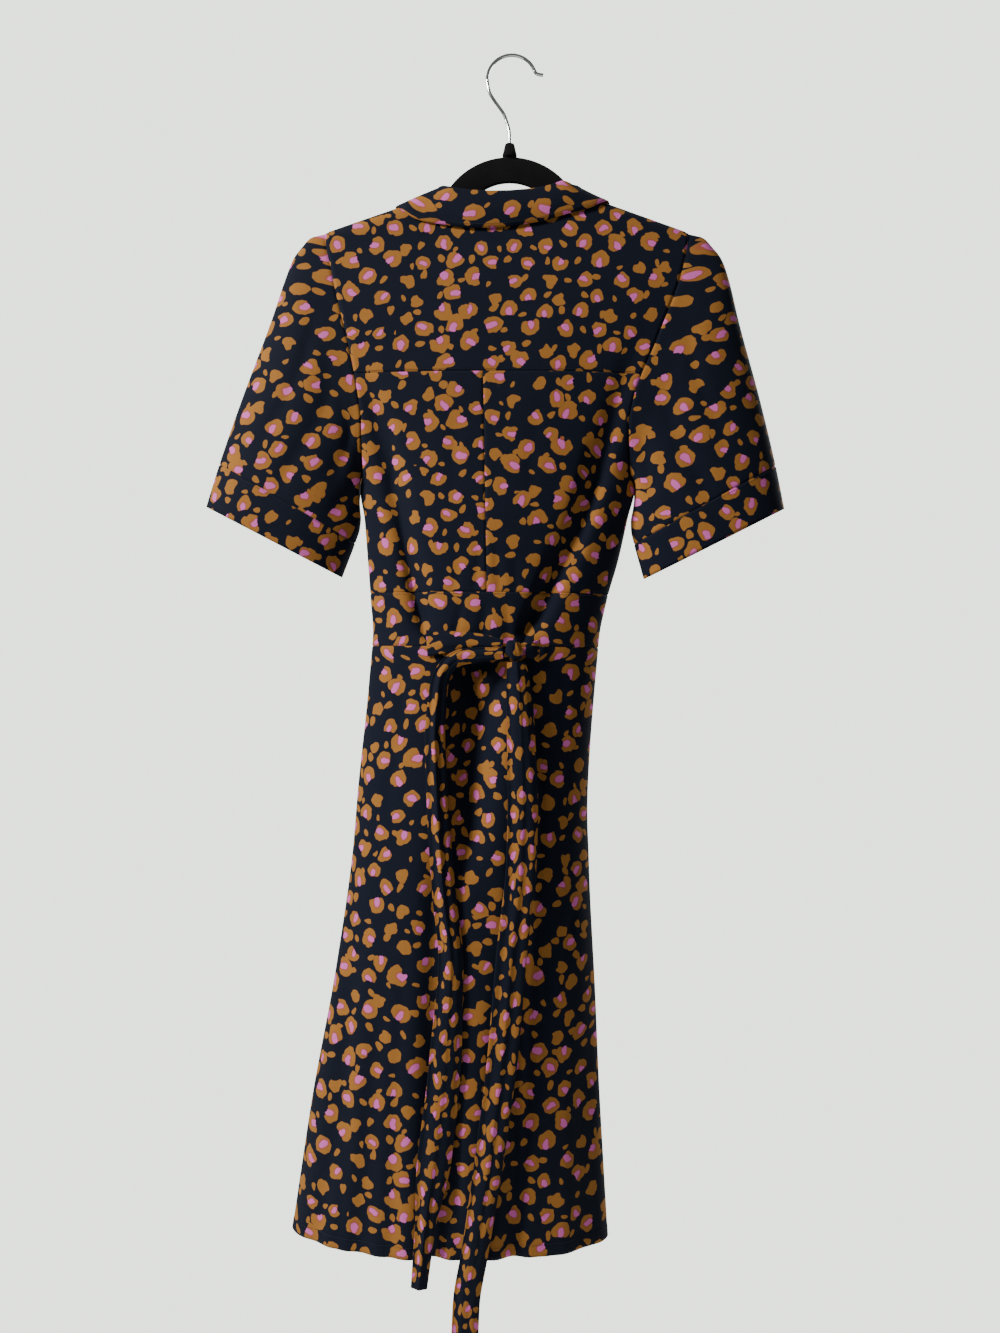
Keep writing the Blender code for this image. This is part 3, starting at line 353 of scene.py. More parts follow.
def curve(xs, ys, x):
    """Monotone cubic through the points xs (rising), ys, at many x at once."""
    xs, ys = np.array(xs, float), np.array(ys, float)
    step = np.diff(xs)
    slope = np.diff(ys) / step
    inner = np.where(slope[:-1] * slope[1:] > 0, slope[:-1] * slope[1:], 0.0)
    total = np.where(inner > 0, slope[:-1] + slope[1:], 1.0)
    tangent = np.concatenate(([slope[0]], 2 * inner / total, [slope[-1]]))
    x = np.clip(x, xs[0], xs[-1])
    i = np.clip(np.searchsorted(xs, x, side="right") - 1, 0, len(step) - 1)
    t = (x - xs[i]) / step[i]
    bend = tangent[i] * t * (1 - t) ** 2 - tangent[i + 1] * t * t * (1 - t)
    return ys[i] * (1 + 2 * t) * (1 - t) ** 2 + ys[i + 1] * t * t * (3 - 2 * t) + step[i] * bend


def column(table, key, value):
    """One column of a table, between its rows."""
    rows = sorted(table, key=lambda row: row[0])
    return curve([row[0] for row in rows], [row[key] for row in rows], value)


def ease(t):
    t = np.clip(t, 0.0, 1.0)
    return t * t * (3 - 2 * t)


def fold_depth(folds, x, z):
    """How deep the folds press the cloth in: soft troughs along the line of each."""
    total = np.zeros(np.broadcast(x, z).shape)
    for z1, x1, z2, x2, z3, x3, wide_a, wide_b, deep_a, deep_b, fade_a, fade_b in folds:
        t = (z1 - z) / (z1 - z3)
        inside = (t >= 0) & (z >= z3 - 2.0)
        t = np.clip(t, 0, 1)
        line = column(((z3, x3), (z2, x2), (z1, x1)), 1, z)
        strength = (ease(t / fade_a) if fade_a else 1.0) * (ease((1 - t) / fade_b) if fade_b else 1.0)
        wide = wide_a + (wide_b - wide_a) * t
        total += inside * (deep_a + (deep_b - deep_a) * t) * strength * np.exp(-((x - line) / wide) ** 2)
    return total


def depth_at(x, z, side):
    """How far the cloth lies behind (side -1) or before (side +1) the hanger's plane."""
    reach = np.minimum(np.abs(x - column(BODY, 2, z)) / column(BODY, 1, z), 1.0)
    crown = (1 - reach ** 2.3) ** column(BODY, 6, z)
    edge, middle = column(BODY, 3, z), column(BODY, 4 if side < 0 else 5, z)
    over = np.clip((ridge(x) - z) / RIDGE_ROUND, 0.0, 1.0)
    turn = np.sqrt(1 - (1 - over) ** 2)
    folds = fold_depth(BACK_FOLDS if side < 0 else FRONT_FOLDS, x, z)
    soft = np.sin(x / 23.0 + z / 61.0 + side) * np.sin(z / 37.0 - x / 71.0) * 0.5
    return turn * (edge + (middle - edge) * crown + soft * crown) - folds * np.minimum(crown * 1.6, 1.0)


def path_height(x, path):
    """Height of a place that lies a path down from the ridge: round it, then straight down."""
    return np.where(path < RIDGE_ARC, ridge(x) - RIDGE_ROUND * (1 - np.cos(path / RIDGE_ROUND)),
                    ridge(x) - (path - RIDGE_ARC + RIDGE_ROUND))


def path_at(x, z):
    return ridge(x) - z + RIDGE_ARC - RIDGE_ROUND


def on_body(x, path, side):
    z = path_height(x, path)
    return np.stack(np.broadcast_arrays(x, side * (depth_at(x, z, side) + SEAM_GAP), z), axis=-1)


def across_at(u, z):
    """The x at a step u between the sides, whose even steps lie closer at the sides."""
    return column(BODY, 2, z) + column(BODY, 1, z) * (1.3 * u - 0.3 * u ** 3)


def body_points(u, path):
    """Points of the body form, for u from -1 to 1 between its sides and a signed path down
    from the ridge of the shoulders: behind it below 0, before it above 0."""
    u, path = np.broadcast_arrays(np.asarray(u, float), np.asarray(path, float))
    length = np.abs(path)
    z = np.full(u.shape, -300.0)
    for _ in range(6):
        x = across_at(u, z)
        z = path_height(x, length)
    return np.where((path < 0)[..., None], on_body(x, length, -1), on_body(x, length, 1))


def u_of(x, z):
    """The step u at which the body form has this x, at a height."""
    share = (x - column(BODY, 2, z)) / column(BODY, 1, z)
    u = np.clip(share / 1.3, -1, 1)
    for _ in range(20):
        u = u - (1.3 * u - 0.3 * u ** 3 - share) / np.maximum(1.3 - 0.9 * u * u, 0.05)
        u = np.clip(u, -1, 1)
    return u


def level(z, u):
    """Path down to a level seam."""
    return path_at(across_at(u, z), z)


def shares(length, step, sewn):
    """Even shares of a length, with closer ones at the ends that are sewn."""
    count = max(int(round(length / step)), 2)
    inner = np.linspace(0, 1, count + 1)
    near = np.array((0.25, 0.9, 2.0)) / length
    first = near if sewn[0] else near[:0]
    last = 1 - near[::-1] if sewn[1] else near[:0]
    low = 3.2 / length if sewn[0] else 0.5 / count
    high = 1 - 3.2 / length if sewn[1] else 1 - 0.5 / count
    inner = inner[(inner > low) & (inner < high)]
    return np.concatenate(([0.0], first, inner, last, [1.0]))


def lean(points):
    """Lean of the whole dress with its hanger."""
    points = points.copy()
    points[..., 2] += points[..., 0] * column(TILT, 1, points[..., 2])
    return points


def grid_normals(points, outward, closed=False):
    """Directions out of a grid of points; outward is 1 or -1, by the way that the grid runs."""
    if closed:
        across = np.roll(points, -1, axis=0) - np.roll(points, 1, axis=0)
    else:
        across = np.gradient(points, axis=0)
    down = np.gradient(points, axis=1)
    normals = np.cross(across, down)
    normals /= np.maximum(np.linalg.norm(normals, axis=2, keepdims=True), 1e-9)
    return normals * outward


ROLL = 1.1                # how far a sewn edge dips towards the inside, and how far from it
ALLOWANCE = 4.0           # width of the seam allowance that is turned to the inside
# left, right, top and bottom edge of a piece: 1 where it is sewn
ALL_ROUND, UNSEWN = (1, 1, 1, 1), (0, 0, 0, 0)


def run_of(points, axis):
    """Length run over a grid from its first row (axis 0) or first column (axis 1)."""
    steps = np.linalg.norm(np.diff(points, axis=axis), axis=2)
    return np.insert(np.cumsum(steps, axis=axis), 0, 0.0, axis=axis)


def allow(values, sewn):
    """Repeats the outer rows and columns of a grid where an allowance is added."""
    left, right, top, bottom = [int(bool(edge)) for edge in sewn]
    pads = ((left, right), (top, bottom)) + ((0, 0),) * (values.ndim - 2)
    return np.pad(values, pads, mode="edge")


def turn_edges(points, normals, sewn, closed=False):
    """Dips the edges that are sewn, and adds the turned allowance behind them."""
    def near(distance):
        return ROLL * np.exp(-(distance / ROLL) ** 1.5)

    left, right, top, bottom = sewn
    from_top, from_left = run_of(points, 1), run_of(points, 0)
    dip = near(from_top) * bool(top) + near(from_top[:, -1:] - from_top) * bool(bottom)
    if left and not closed:
        dip = np.maximum(dip, near(from_left))
    if right and not closed:
        dip = np.maximum(dip, near(from_left[-1:] - from_left))
    wide, facing = allow(points - normals * dip[..., None], sewn), allow(normals, sewn)
    drop = np.zeros(wide.shape[:2])
    for edge, place in zip(sewn, (np.s_[0], np.s_[-1], np.s_[:, 0], np.s_[:, -1])):
        if edge:
            drop[place] = ALLOWANCE
    return wide - facing * drop[..., None]


def unrolled(points, height, middle):
    """Flat place of each point of a panel: the given height along the cloth's grain, and its
    distance across along the cloth, from the middle column."""
    span = np.linalg.norm(np.diff(points, axis=0), axis=2)
    across = np.sqrt(np.maximum(span ** 2 - np.diff(height, axis=0) ** 2, 0.0))
    across = np.concatenate((np.zeros((1, points.shape[1])), np.cumsum(across, axis=0)))
    return np.stack((across - across[middle:middle + 1], height), axis=-1)


def cloth_mesh(name, points, outward, flat, closed=False):
    """Quads over a grid of points in millimetres, with their flat places as a UV map in metres."""
    rows, columns = points.shape[:2]
    number = np.arange(rows * columns).reshape(rows, columns)
    number = np.concatenate((number, number[:1])) if closed else number
    i, j = np.meshgrid(np.arange(len(number) - 1), np.arange(columns - 1), indexing="ij")
    corners = ((i, j), (i + 1, j), (i + 1, j + 1), (i, j + 1))
    if outward < 0:
        corners = corners[::-1]
    faces = np.stack([number[a, b].ravel() for a, b in corners], axis=1)
    mapped = np.stack([flat[a, b].reshape(-1, 2) for a, b in corners], axis=1) / 1000
    mesh = bpy.data.meshes.new(name)
    mesh.from_pydata((points.reshape(-1, 3) / 1000).tolist(), [], faces.tolist())
    layer = mesh.uv_layers.new(name="cloth")
    layer.data.foreach_set("uv", mapped.reshape(-1).astype(np.float32))
    return mesh


def cloth(name, grid, outward, sewn, shift, stands_for,
          closed=False, thick=0.8, flat=None):
    """A cut piece of the printed cotton: its grid with turned edges, as a thin shell."""
    if flat is None:
        flat = unrolled(grid, grid[..., 2], len(grid) // 2)
    grid = lean(grid)
    normals = grid_normals(grid, outward, closed)
    flat = allow(flat, sewn) + np.array(shift, float)
    mesh = cloth_mesh(name, turn_edges(grid, normals, sewn, closed), outward, flat, closed)
    made = piece(name, mesh, printed_cotton, stands_for)
    shell = made.modifiers.new("thickness", "SOLIDIFY")
    shell.thickness = thick / 1000
    shell.offset = 0.0
    shell.use_even_offset = False
    return made


def group(name, outputs, **inputs):
    """An empty shader node group, with named inputs, each a number or a vector, and outputs: the
    tree, the sockets that give the inputs inside it, and those that take the outputs."""
    made = bpy.data.node_groups.new(name, "ShaderNodeTree")
    for label, value in inputs.items():
        kind = "NodeSocketVector" if isinstance(value, tuple) else "NodeSocketFloat"
        made.interface.new_socket(name=label, in_out="INPUT", socket_type=kind).default_value = value
    for label in outputs:
        made.interface.new_socket(name=label, in_out="OUTPUT", socket_type="NodeSocketFloat")
    given, gives = made.nodes.new("NodeGroupInput"), made.nodes.new("NodeGroupOutput")
    return made, given.outputs, gives.inputs


def maths(tree, operation, *values):
    return node(tree, "ShaderNodeMath", *values, operation=operation).outputs["Value"]


def vectors(tree, operation, *values):
    made = node(tree, "ShaderNodeVectorMath", *values, operation=operation)
    return made.outputs["Value" if operation == "DOT_PRODUCT" else "Vector"]


def xyz(tree, *values):
    return node(tree, "ShaderNodeCombineXYZ", *values).outputs["Vector"]


def mix_of(tree, share, first, second):
    """Colour that goes from one to another with a share; each is a link or a colour."""
    made = node(tree, "ShaderNodeMix", share, data_type="RGBA")
    for socket, colour in ((made.inputs[6], first), (made.inputs[7], second)):
        if isinstance(colour, tuple):
            socket.default_value = (*colour, 1)
        else:
            tree.links.new(colour, socket)
    return made.outputs[2]


def step_mask(tree, value, edge, soft):
    """1 where value is under edge, 0 above, with a soft change."""
    low, high = maths(tree, "SUBTRACT", edge, soft), maths(tree, "ADD", edge, soft)
    made = node(tree, "ShaderNodeMapRange", value, low, high, 1.0, 0.0, interpolation_type="SMOOTHSTEP")
    return made.outputs["Result"]


def mound(tree, place, x, y, width):
    """A soft round mound, 1 at its middle, at x, y of a place."""
    off = vectors(tree, "SUBTRACT", place, xyz(tree, x, y, 0.0))
    squared = vectors(tree, "DOT_PRODUCT", off, off)
    return maths(tree, "EXPONENT", maths(tree, "DIVIDE", squared, -width * width))


def blots_group():
    """Printed blots in a loose scatter, one to a cell. Each is two or three mounds run together,
    most with a hollow pressed into them, so that hearts, beans and eights come out, and a spot
    lies towards the hollow. Size is the cell's side; Small, Large and Stretch scale the blots,
    Notch is the depth of the hollow and Ripple that of the outline's waves; Shift moves the
    whole scatter by a share of a cell."""
    made, given, gives = group(
        "cotton_blots", ("Blot", "Spot", "Rim"), Vector=(0.0, 0.0, 0.0), Size=0.04, Small=0.8, Large=1.1,
        Stretch=1.2, Missing=0.0, Notch=1.9, Ripple=0.15, Shift=(0.0, 0.0, 0.0))
    scaled = vectors(made, "DIVIDE", given["Vector"], xyz(made, *[given["Size"]] * 3))
    seeded = vectors(made, "ADD", scaled, given["Shift"])
    ripple = node(made, "ShaderNodeTexNoise", seeded, None, 4.6, 1.0, noise_dimensions="2D")
    centred = vectors(made, "SUBTRACT", ripple.outputs["Color"], (0.5, 0.5, 0.5))
    warp = vectors(made, "MULTIPLY", centred, xyz(made, given["Ripple"], given["Ripple"], 0.0))
    warped = vectors(made, "ADD", seeded, warp)
    cells = node(made, "ShaderNodeTexVoronoi", voronoi_dimensions="2D", feature="F1")
    made.links.new(warped, cells.inputs["Vector"])
    cells.inputs["Scale"].default_value = 1.0
    cells.inputs["Randomness"].default_value = 0.30
    first = node(made, "ShaderNodeSeparateColor", cells.outputs["Color"]).outputs
    drawn = node(made, "ShaderNodeTexWhiteNoise", cells.outputs["Position"], noise_dimensions="2D")
    second = node(made, "ShaderNodeSeparateColor", drawn.outputs["Color"]).outputs
    turned_by = node(made, "ShaderNodeVectorRotate", rotation_type="Z_AXIS")
    made.links.new(vectors(made, "SUBTRACT", warped, cells.outputs["Position"]), turned_by.inputs["Vector"])
    made.links.new(maths(made, "MULTIPLY", first[0], 6.2832), turned_by.inputs["Angle"])
    span = maths(made, "SUBTRACT", given["Large"], given["Small"])
    blot = maths(made, "MULTIPLY_ADD", first[1], span, given["Small"])
    tall = maths(made, "MULTIPLY", blot, given["Stretch"])
    place = vectors(made, "DIVIDE", turned_by.outputs["Vector"], xyz(made, blot, tall, 1.0))
    apart = maths(made, "MULTIPLY_ADD", second[0], 0.09, 0.085)
    tail = maths(made, "MULTIPLY_ADD", second[1], -0.17, -0.03)
    field = mound(made, place, apart, 0.03, 0.18)
    field = maths(made, "ADD", field, mound(made, place, maths(made, "MULTIPLY", apart, -1.0), 0.0, 0.20))
    field = maths(made, "ADD", field, mound(made, place, 0.0, tail, 0.18))
    pressed = maths(made, "GREATER_THAN", first[2], 0.25)
    pressed = maths(made, "MULTIPLY", pressed, given["Notch"])
    hollow = mound(made, place, 0.0, 0.23, 0.10)
    field = maths(made, "SUBTRACT", field, maths(made, "MULTIPLY", hollow, pressed))
    lost = maths(made, "LESS_THAN", second[2], given["Missing"])
    field = maths(made, "SUBTRACT", field, maths(made, "MULTIPLY", lost, 4.0))
    body = step_mask(made, maths(made, "SUBTRACT", 0.74, field), 0.0, 0.06)
    spot_x = maths(made, "MULTIPLY_ADD", second[1], 0.12, -0.06)
    spot_y = maths(made, "MULTIPLY_ADD", second[0], 0.08, 0.05)
    spotted = mound(made, place, spot_x, spot_y, 0.12)
    second_spot = mound(made, place, 0.02, maths(made, "SUBTRACT", spot_y, 0.11), 0.10)
    spotted = maths(made, "ADD", spotted, second_spot)
    plain = maths(made, "MULTIPLY", maths(made, "LESS_THAN", first[1], 0.28), 3.0)
    spot = step_mask(made, maths(made, "ADD", maths(made, "SUBTRACT", 0.80, spotted), plain), 0.0, 0.07)
    over = step_mask(made, maths(made, "SUBTRACT", 0.30, field), 0.0, 0.05)
    rim = step_mask(made, maths(made, "ADD", maths(made, "SUBTRACT", 0.42, spotted), plain), 0.0, 0.22)
    made.links.new(body, gives["Blot"])
    made.links.new(maths(made, "MULTIPLY", spot, over), gives["Spot"])
    made.links.new(rim, gives["Rim"])
    return made


def weave_group():
    """Plain weave as a height: threads over and under along both ways of the cloth."""
    made, given, gives = group("plain_weave", ("Height", "Slub"), Vector=(0.0, 0.0, 0.0), Thread=0.0004)
    parts = node(made, "ShaderNodeSeparateXYZ", given["Vector"])
    waves = []
    for key in ("X", "Y"):
        turns = maths(made, "DIVIDE", parts.outputs[key], given["Thread"])
        waves.append(maths(made, "SINE", maths(made, "MULTIPLY", turns, 3.14159)))
    crossed = maths(made, "MULTIPLY", waves[0], waves[1])
    slub = node(made, "ShaderNodeTexNoise", given["Vector"], None, 420.0, 3.0)
    made.links.new(crossed, gives["Height"])
    made.links.new(slub.outputs["Fac"], gives["Slub"])
    return made


blots, weave = blots_group(), weave_group()
printed_cotton, tree, shader = material("printed_cotton", 0.82)
shader.inputs["Specular IOR Level"].default_value = 0.10
shader.inputs["Sheen Weight"].default_value = 0.03
shader.inputs["Sheen Roughness"].default_value = 0.5
on_cloth = node(tree, "ShaderNodeUVMap", uv_map="cloth").outputs["UV"]


def placed_group(tree, kind, **values):
    made = tree.nodes.new("ShaderNodeGroup")
    made.node_tree = kind
    for key, value in values.items():
        if isinstance(value, bpy.types.NodeSocket):
            tree.links.new(value, made.inputs[key])
        else:
            made.inputs[key].default_value = value
    return made


BLOT_CELL, THREAD = 0.0408, 0.0005   # metres: side of a blot's cell, and from thread to thread
scatters = [placed_group(tree, blots, Vector=on_cloth, Size=BLOT_CELL, Small=small, Large=large,
                         Stretch=stretch, Missing=missing, Notch=notch, Ripple=ripple, Shift=shift)
            for small, large, stretch, missing, notch, ripple, shift in (
                # two scatters of blots with their spots, and two of small ovals between them
                (0.72, 1.08, 1.18, 0.0, 2.3, 0.11, (0.0, 0.0, 0.0)),
                (0.64, 1.04, 1.26, 0.0, 2.3, 0.11, (40.5, 23.5, 0.0)),
                (0.22, 0.38, 1.9, 0.12, 0.0, 0.05, (71.5, 11.0, 0.0)),
                (0.20, 0.36, 1.9, 0.18, 0.0, 0.05, (17.0, 58.5, 0.0)))]
threads = placed_group(tree, weave, Vector=on_cloth, Thread=THREAD)


def joined(output, among):
    """The most that any of these scatters puts out."""
    mask = among[0].outputs[output]
    for scatter in among[1:]:
        mask = maths(tree, "MAXIMUM", mask, scatter.outputs[output])
    return mask


slub = threads.outputs["Slub"]
ground = mix_of(tree, slub, (0.0026, 0.0042, 0.0112), (0.0048, 0.0075, 0.0185))
ochre = mix_of(tree, slub, (0.265, 0.108, 0.019), (0.345, 0.146, 0.032))
reddened = maths(tree, "MULTIPLY", joined("Rim", scatters[:2]), 0.8)
ochre = mix_of(tree, reddened, ochre, (0.31, 0.078, 0.044))
printed = mix_of(tree, joined("Blot", scatters), ground, ochre)
printed = mix_of(tree, joined("Spot", scatters[:2]), printed, (0.58, 0.125, 0.40))
tree.links.new(printed, shader.inputs["Base Color"])
bump(tree, shader, threads.outputs["Height"], 0.00012, 0.5)

# away from the middle, path: the neckline from the middle of the back to before the shoulder
NECKLINE = ((0.0, -62.0), (34.0, -49.0), (61.0, -31.0), (77.0, -12.0), (84.0, 0.0), (90.0, 20.0))


def yoke_grid():
    """Columns from armhole to armhole, each from the neckline or the front seam back down to
    the yoke seam."""
    away = np.concatenate((np.linspace(0, 60, 16), np.linspace(63, 92, 18), np.linspace(96, 205, 29),
                           (206.8, 207.9, 208.7, 209.0)))
    x = np.concatenate((MIDDLE - away[::-1], MIDDLE + away[1:]))
    u = u_of(x, ridge(x))
    u[0], u[-1] = -1.0, 1.0
    start = np.minimum(curve(*zip(*NECKLINE), np.abs(x - MIDDLE)), SHOULDER_LAP)
    finish = -level(YOKE_SEAM, u)
    first = np.array((0, 0.25, 0.9, 2.0, 4.0, 6.5, 9.5, 13, 17, 21, 25, 29, 33, 37, 41))
    rest = shares(200.0, 4.2, (False, True))[1:]
    paths = []
    for begin, end in zip(start, finish):
        near = begin - first
        paths.append(np.concatenate((near, near[-1] + (end - near[-1]) * rest)))
    points = body_points(u[:, None], np.array(paths))
    return points, unrolled(points, ridge(points[..., 0]) + np.array(paths), len(u) // 2)


yoke, yoke_flat = yoke_grid()
cloth("yoke_cloth", yoke, -1, ALL_ROUND, (0, 0), ["back_yoke"],
      flat=yoke_flat)

# ---------------------------------------------------------------- back bodice
# Two back panels under the yoke, sewn down the middle and into the inset waistband. The
# knotted ties pull them into soft drags towards the waist.
def back_seam(z):
    return column(((-635.0, 2.7), (-380.0, -15.0)), 1, z)


HALF_WIDTH = 160.0        # of the dress, on the whole


def body_panel(side, edges, z_top, z_bottom, step, sewn, hem=0.0):
    """Grid of a panel between two u edges, given for each height, and two levels. A hem stands
    out a little, by the cloth that is turned up inside it."""
    height = z_top - z_bottom
    down = shares(height, step, sewn[2:])
    z = z_top + (z_bottom - z_top) * down
    first, last = edges(z)
    across = shares(float(np.mean(np.abs(last - first))) * HALF_WIDTH, step, sewn[:2])
    u = first[None, :] + (last - first)[None, :] * across[:, None]
    top, bottom = level(z_top, u), level(z_bottom, u)
    path = top + (bottom - top) * down[None, :]
    points = body_points(u, side * path)
    if hem:
        near = ease((down - (1 - hem / height)) * height / 2.0)
        facing = grid_normals(points, side)
        points = points + facing * (0.35 * near)[None, :, None]
    return points


cloth("back_left_cloth", body_panel(-1, lambda z: (np.full(z.shape, -1.0), u_of(back_seam(z), z)),
                                    YOKE_SEAM, WAIST_TOP, 3.6, ALL_ROUND),
      -1, ALL_ROUND, (310, 40), ["back_left"])
cloth("back_right_cloth", body_panel(-1, lambda z: (u_of(back_seam(z), z), np.full(z.shape, 1.0)),
                                     YOKE_SEAM, WAIST_TOP, 3.6, ALL_ROUND),
      -1, ALL_ROUND, (505, 71), ["back_right"])

# ---------------------------------------------------------------- bodice fronts
# Left and right front, from the shoulder seams to the waistband. The right one ends at the
# button band, the left one runs on under it.
BAND_HALF = 15.0          # half of the button band's width
UNDER_LAP = 13.0          # how far the left front runs on under the band
NECK_AWAY = 90.0          # from the middle to the neckline, at the shoulder seam
UNDER_BAND = 2.6          # how far the left front lies in under the band


def front_edge(side):
    return BAND_HALF + SEAM_GAP if side > 0 else UNDER_LAP


def front_neck_x(path, side):
    foot = front_edge(side)
    reach = (path - SHOULDER_LAP) / (path_at(foot, V_POINT) - SHOULDER_LAP)
    return foot + (MIDDLE + side * NECK_AWAY - foot) * np.maximum(1 - reach, 0.0) ** 1.1


def sink_under_lap(points, normals):
    """The left front lies under the band by the thickness of the cloth."""
    drop = UNDER_BAND * ease((points[..., 0] + BAND_HALF + 26) / 20)
    return points - normals * drop[..., None]


def front_grid(side):
    """Columns from the side seam in to the neckline and the middle, from the shoulder seam down."""
    down = shares(440.0, 4.2, (True, True)) ** 1.08
    across = shares(140.0, 3.8, (True, side > 0))
    start = SHOULDER_LAP + SEAM_GAP
    x_in = np.full(down.shape, front_edge(side))
    for _ in range(8):
        path_in = start + (path_at(x_in, WAIST_TOP) - start) * down
        x_in = front_neck_x(path_in, side)
    u_in = u_of(x_in, ridge(x_in) - path_in + RIDGE_ARC - RIDGE_ROUND)
    u = side + (u_in[None, :] - side) * across[:, None]
    path = start + (level(WAIST_TOP, u) - start) * down[None, :]
    points = body_points(u, path)
    if side < 0:
        points = sink_under_lap(points, grid_normals(points, 1))
    return points


cloth("front_left_cloth", front_grid(-1), 1, (1, 0, 1, 1), (20, 420), ["front_left"])
cloth("front_right_cloth", front_grid(1), -1, ALL_ROUND, (230, 455), ["front_right"])

# ---------------------------------------------------------------- waistband
# Inset band between bodice and skirt, in three pieces, a double layer with both seams
# stitched down. The ties start at its lower seam in the back.
WAIST = (WAIST_TOP, WAIST_BOTTOM)


def full_width(z):
    return np.full(z.shape, -1.0), np.full(z.shape, 1.0)


def half_width(side):
    def edges(z):
        inner = u_of(np.full(z.shape, front_edge(side)), z)
        return (inner, np.full(z.shape, 1.0)) if side > 0 else (np.full(z.shape, -1.0), inner)
    return edges


def front_panel(side, z_top, z_bottom, step, sewn, hem=0.0):
    points = body_panel(1, half_width(side), z_top, z_bottom, step, sewn, hem)
    return points if side > 0 else sink_under_lap(points, grid_normals(points, 1))


cloth("waistband_back_cloth", body_panel(-1, full_width, *WAIST, 3.2, ALL_ROUND), -1, ALL_ROUND,
      (120, 800), ["waistband_back"])
cloth("waistband_left_cloth", front_panel(-1, *WAIST, 3.6, (1, 0, 1, 1)), 1, (1, 0, 1, 1), (560, 830),
      ["waistband_front_left"])
cloth("waistband_right_cloth", front_panel(1, *WAIST, 3.6, ALL_ROUND), 1, ALL_ROUND, (760, 850),
      ["waistband_front_right"])

# ---------------------------------------------------------------- skirt
# Flared skirt: the back in one, the fronts left and right of the button band. A narrow
# turned hem, main folds from the waist, and the deep fold between the ties.
HEM_DEEP = 14.0
cloth("skirt_back_cloth", body_panel(-1, full_width, WAIST_BOTTOM, HEM, 3.6, (1, 1, 1, 0), HEM_DEEP),
      -1, (1, 1, 1, 0), (0, 1000), ["skirt_back"])
cloth("skirt_left_cloth", front_panel(-1, WAIST_BOTTOM, HEM, 4.4, (1, 0, 1, 0), HEM_DEEP),
      1, (1, 0, 1, 0), (700, 1400), ["skirt_front_left"])
cloth("skirt_right_cloth", front_panel(1, WAIST_BOTTOM, HEM, 4.4, (1, 1, 1, 0), HEM_DEEP),
      1, (1, 1, 1, 0), (1000, 1380), ["skirt_front_right"])

# ---------------------------------------------------------------- sleeves
# Short set-in sleeves, each a tube of one piece, and the band sewn to its end. They hang from
# the shoulder with soft folds down their length.
SLEEVE = (
    # along, outer_x, outer_z, inner_x, inner_z, back, front
    (0.000, 213.0, -209, 158.0, -511, 21, 21),
    (0.047, 229.0, -214, 158.2, -516, 22, 20),
    (0.095, 241.0, -226, 158.4, -520, 23, 20),
    (0.140, 251.0, -239, 158.6, -524, 23, 20),
    (0.210, 260.0, -262, 158.8, -530, 24, 20),
    (0.350, 274.0, -310, 159.0, -541, 27, 20),
    (0.630, 304.5, -405, 160.0, -558, 30, 22),
    (0.853, 327.0, -482, 164.5, -575, 32, 22),
    (1.000, 340.0, -533, 178.0, -616, 33, 23),
)
SLEEVE_FOLDS = (
    # share of the way from the outer edge to the inner one, start and end along the sleeve,
    # width, depth, and 1 on the back or -1 on the front
    (0.30, 0.05, 0.80, 0.045, 1.6, 1), (0.52, 0.10, 0.95, 0.05, 1.8, 1), (0.74, 0.02, 0.60, 0.05, 2.2, 1),
    (0.88, 0.15, 0.90, 0.05, 1.8, 1), (0.36, 0.10, 0.90, 0.05, 1.4, -1), (0.62, 0.05, 0.85, 0.06, 1.8, -1),
    (0.82, 0.20, 0.95, 0.05, 1.6, -1),
)
SLEEVE_LONG = 343.0
SLEEVE_ROUND = 120        # points round it
BAND_ALONG = 0.855        # share of its length at which the band is sewn on
SHOULDER_OUT, UNDERARM_OUT = 213.0, 158.0


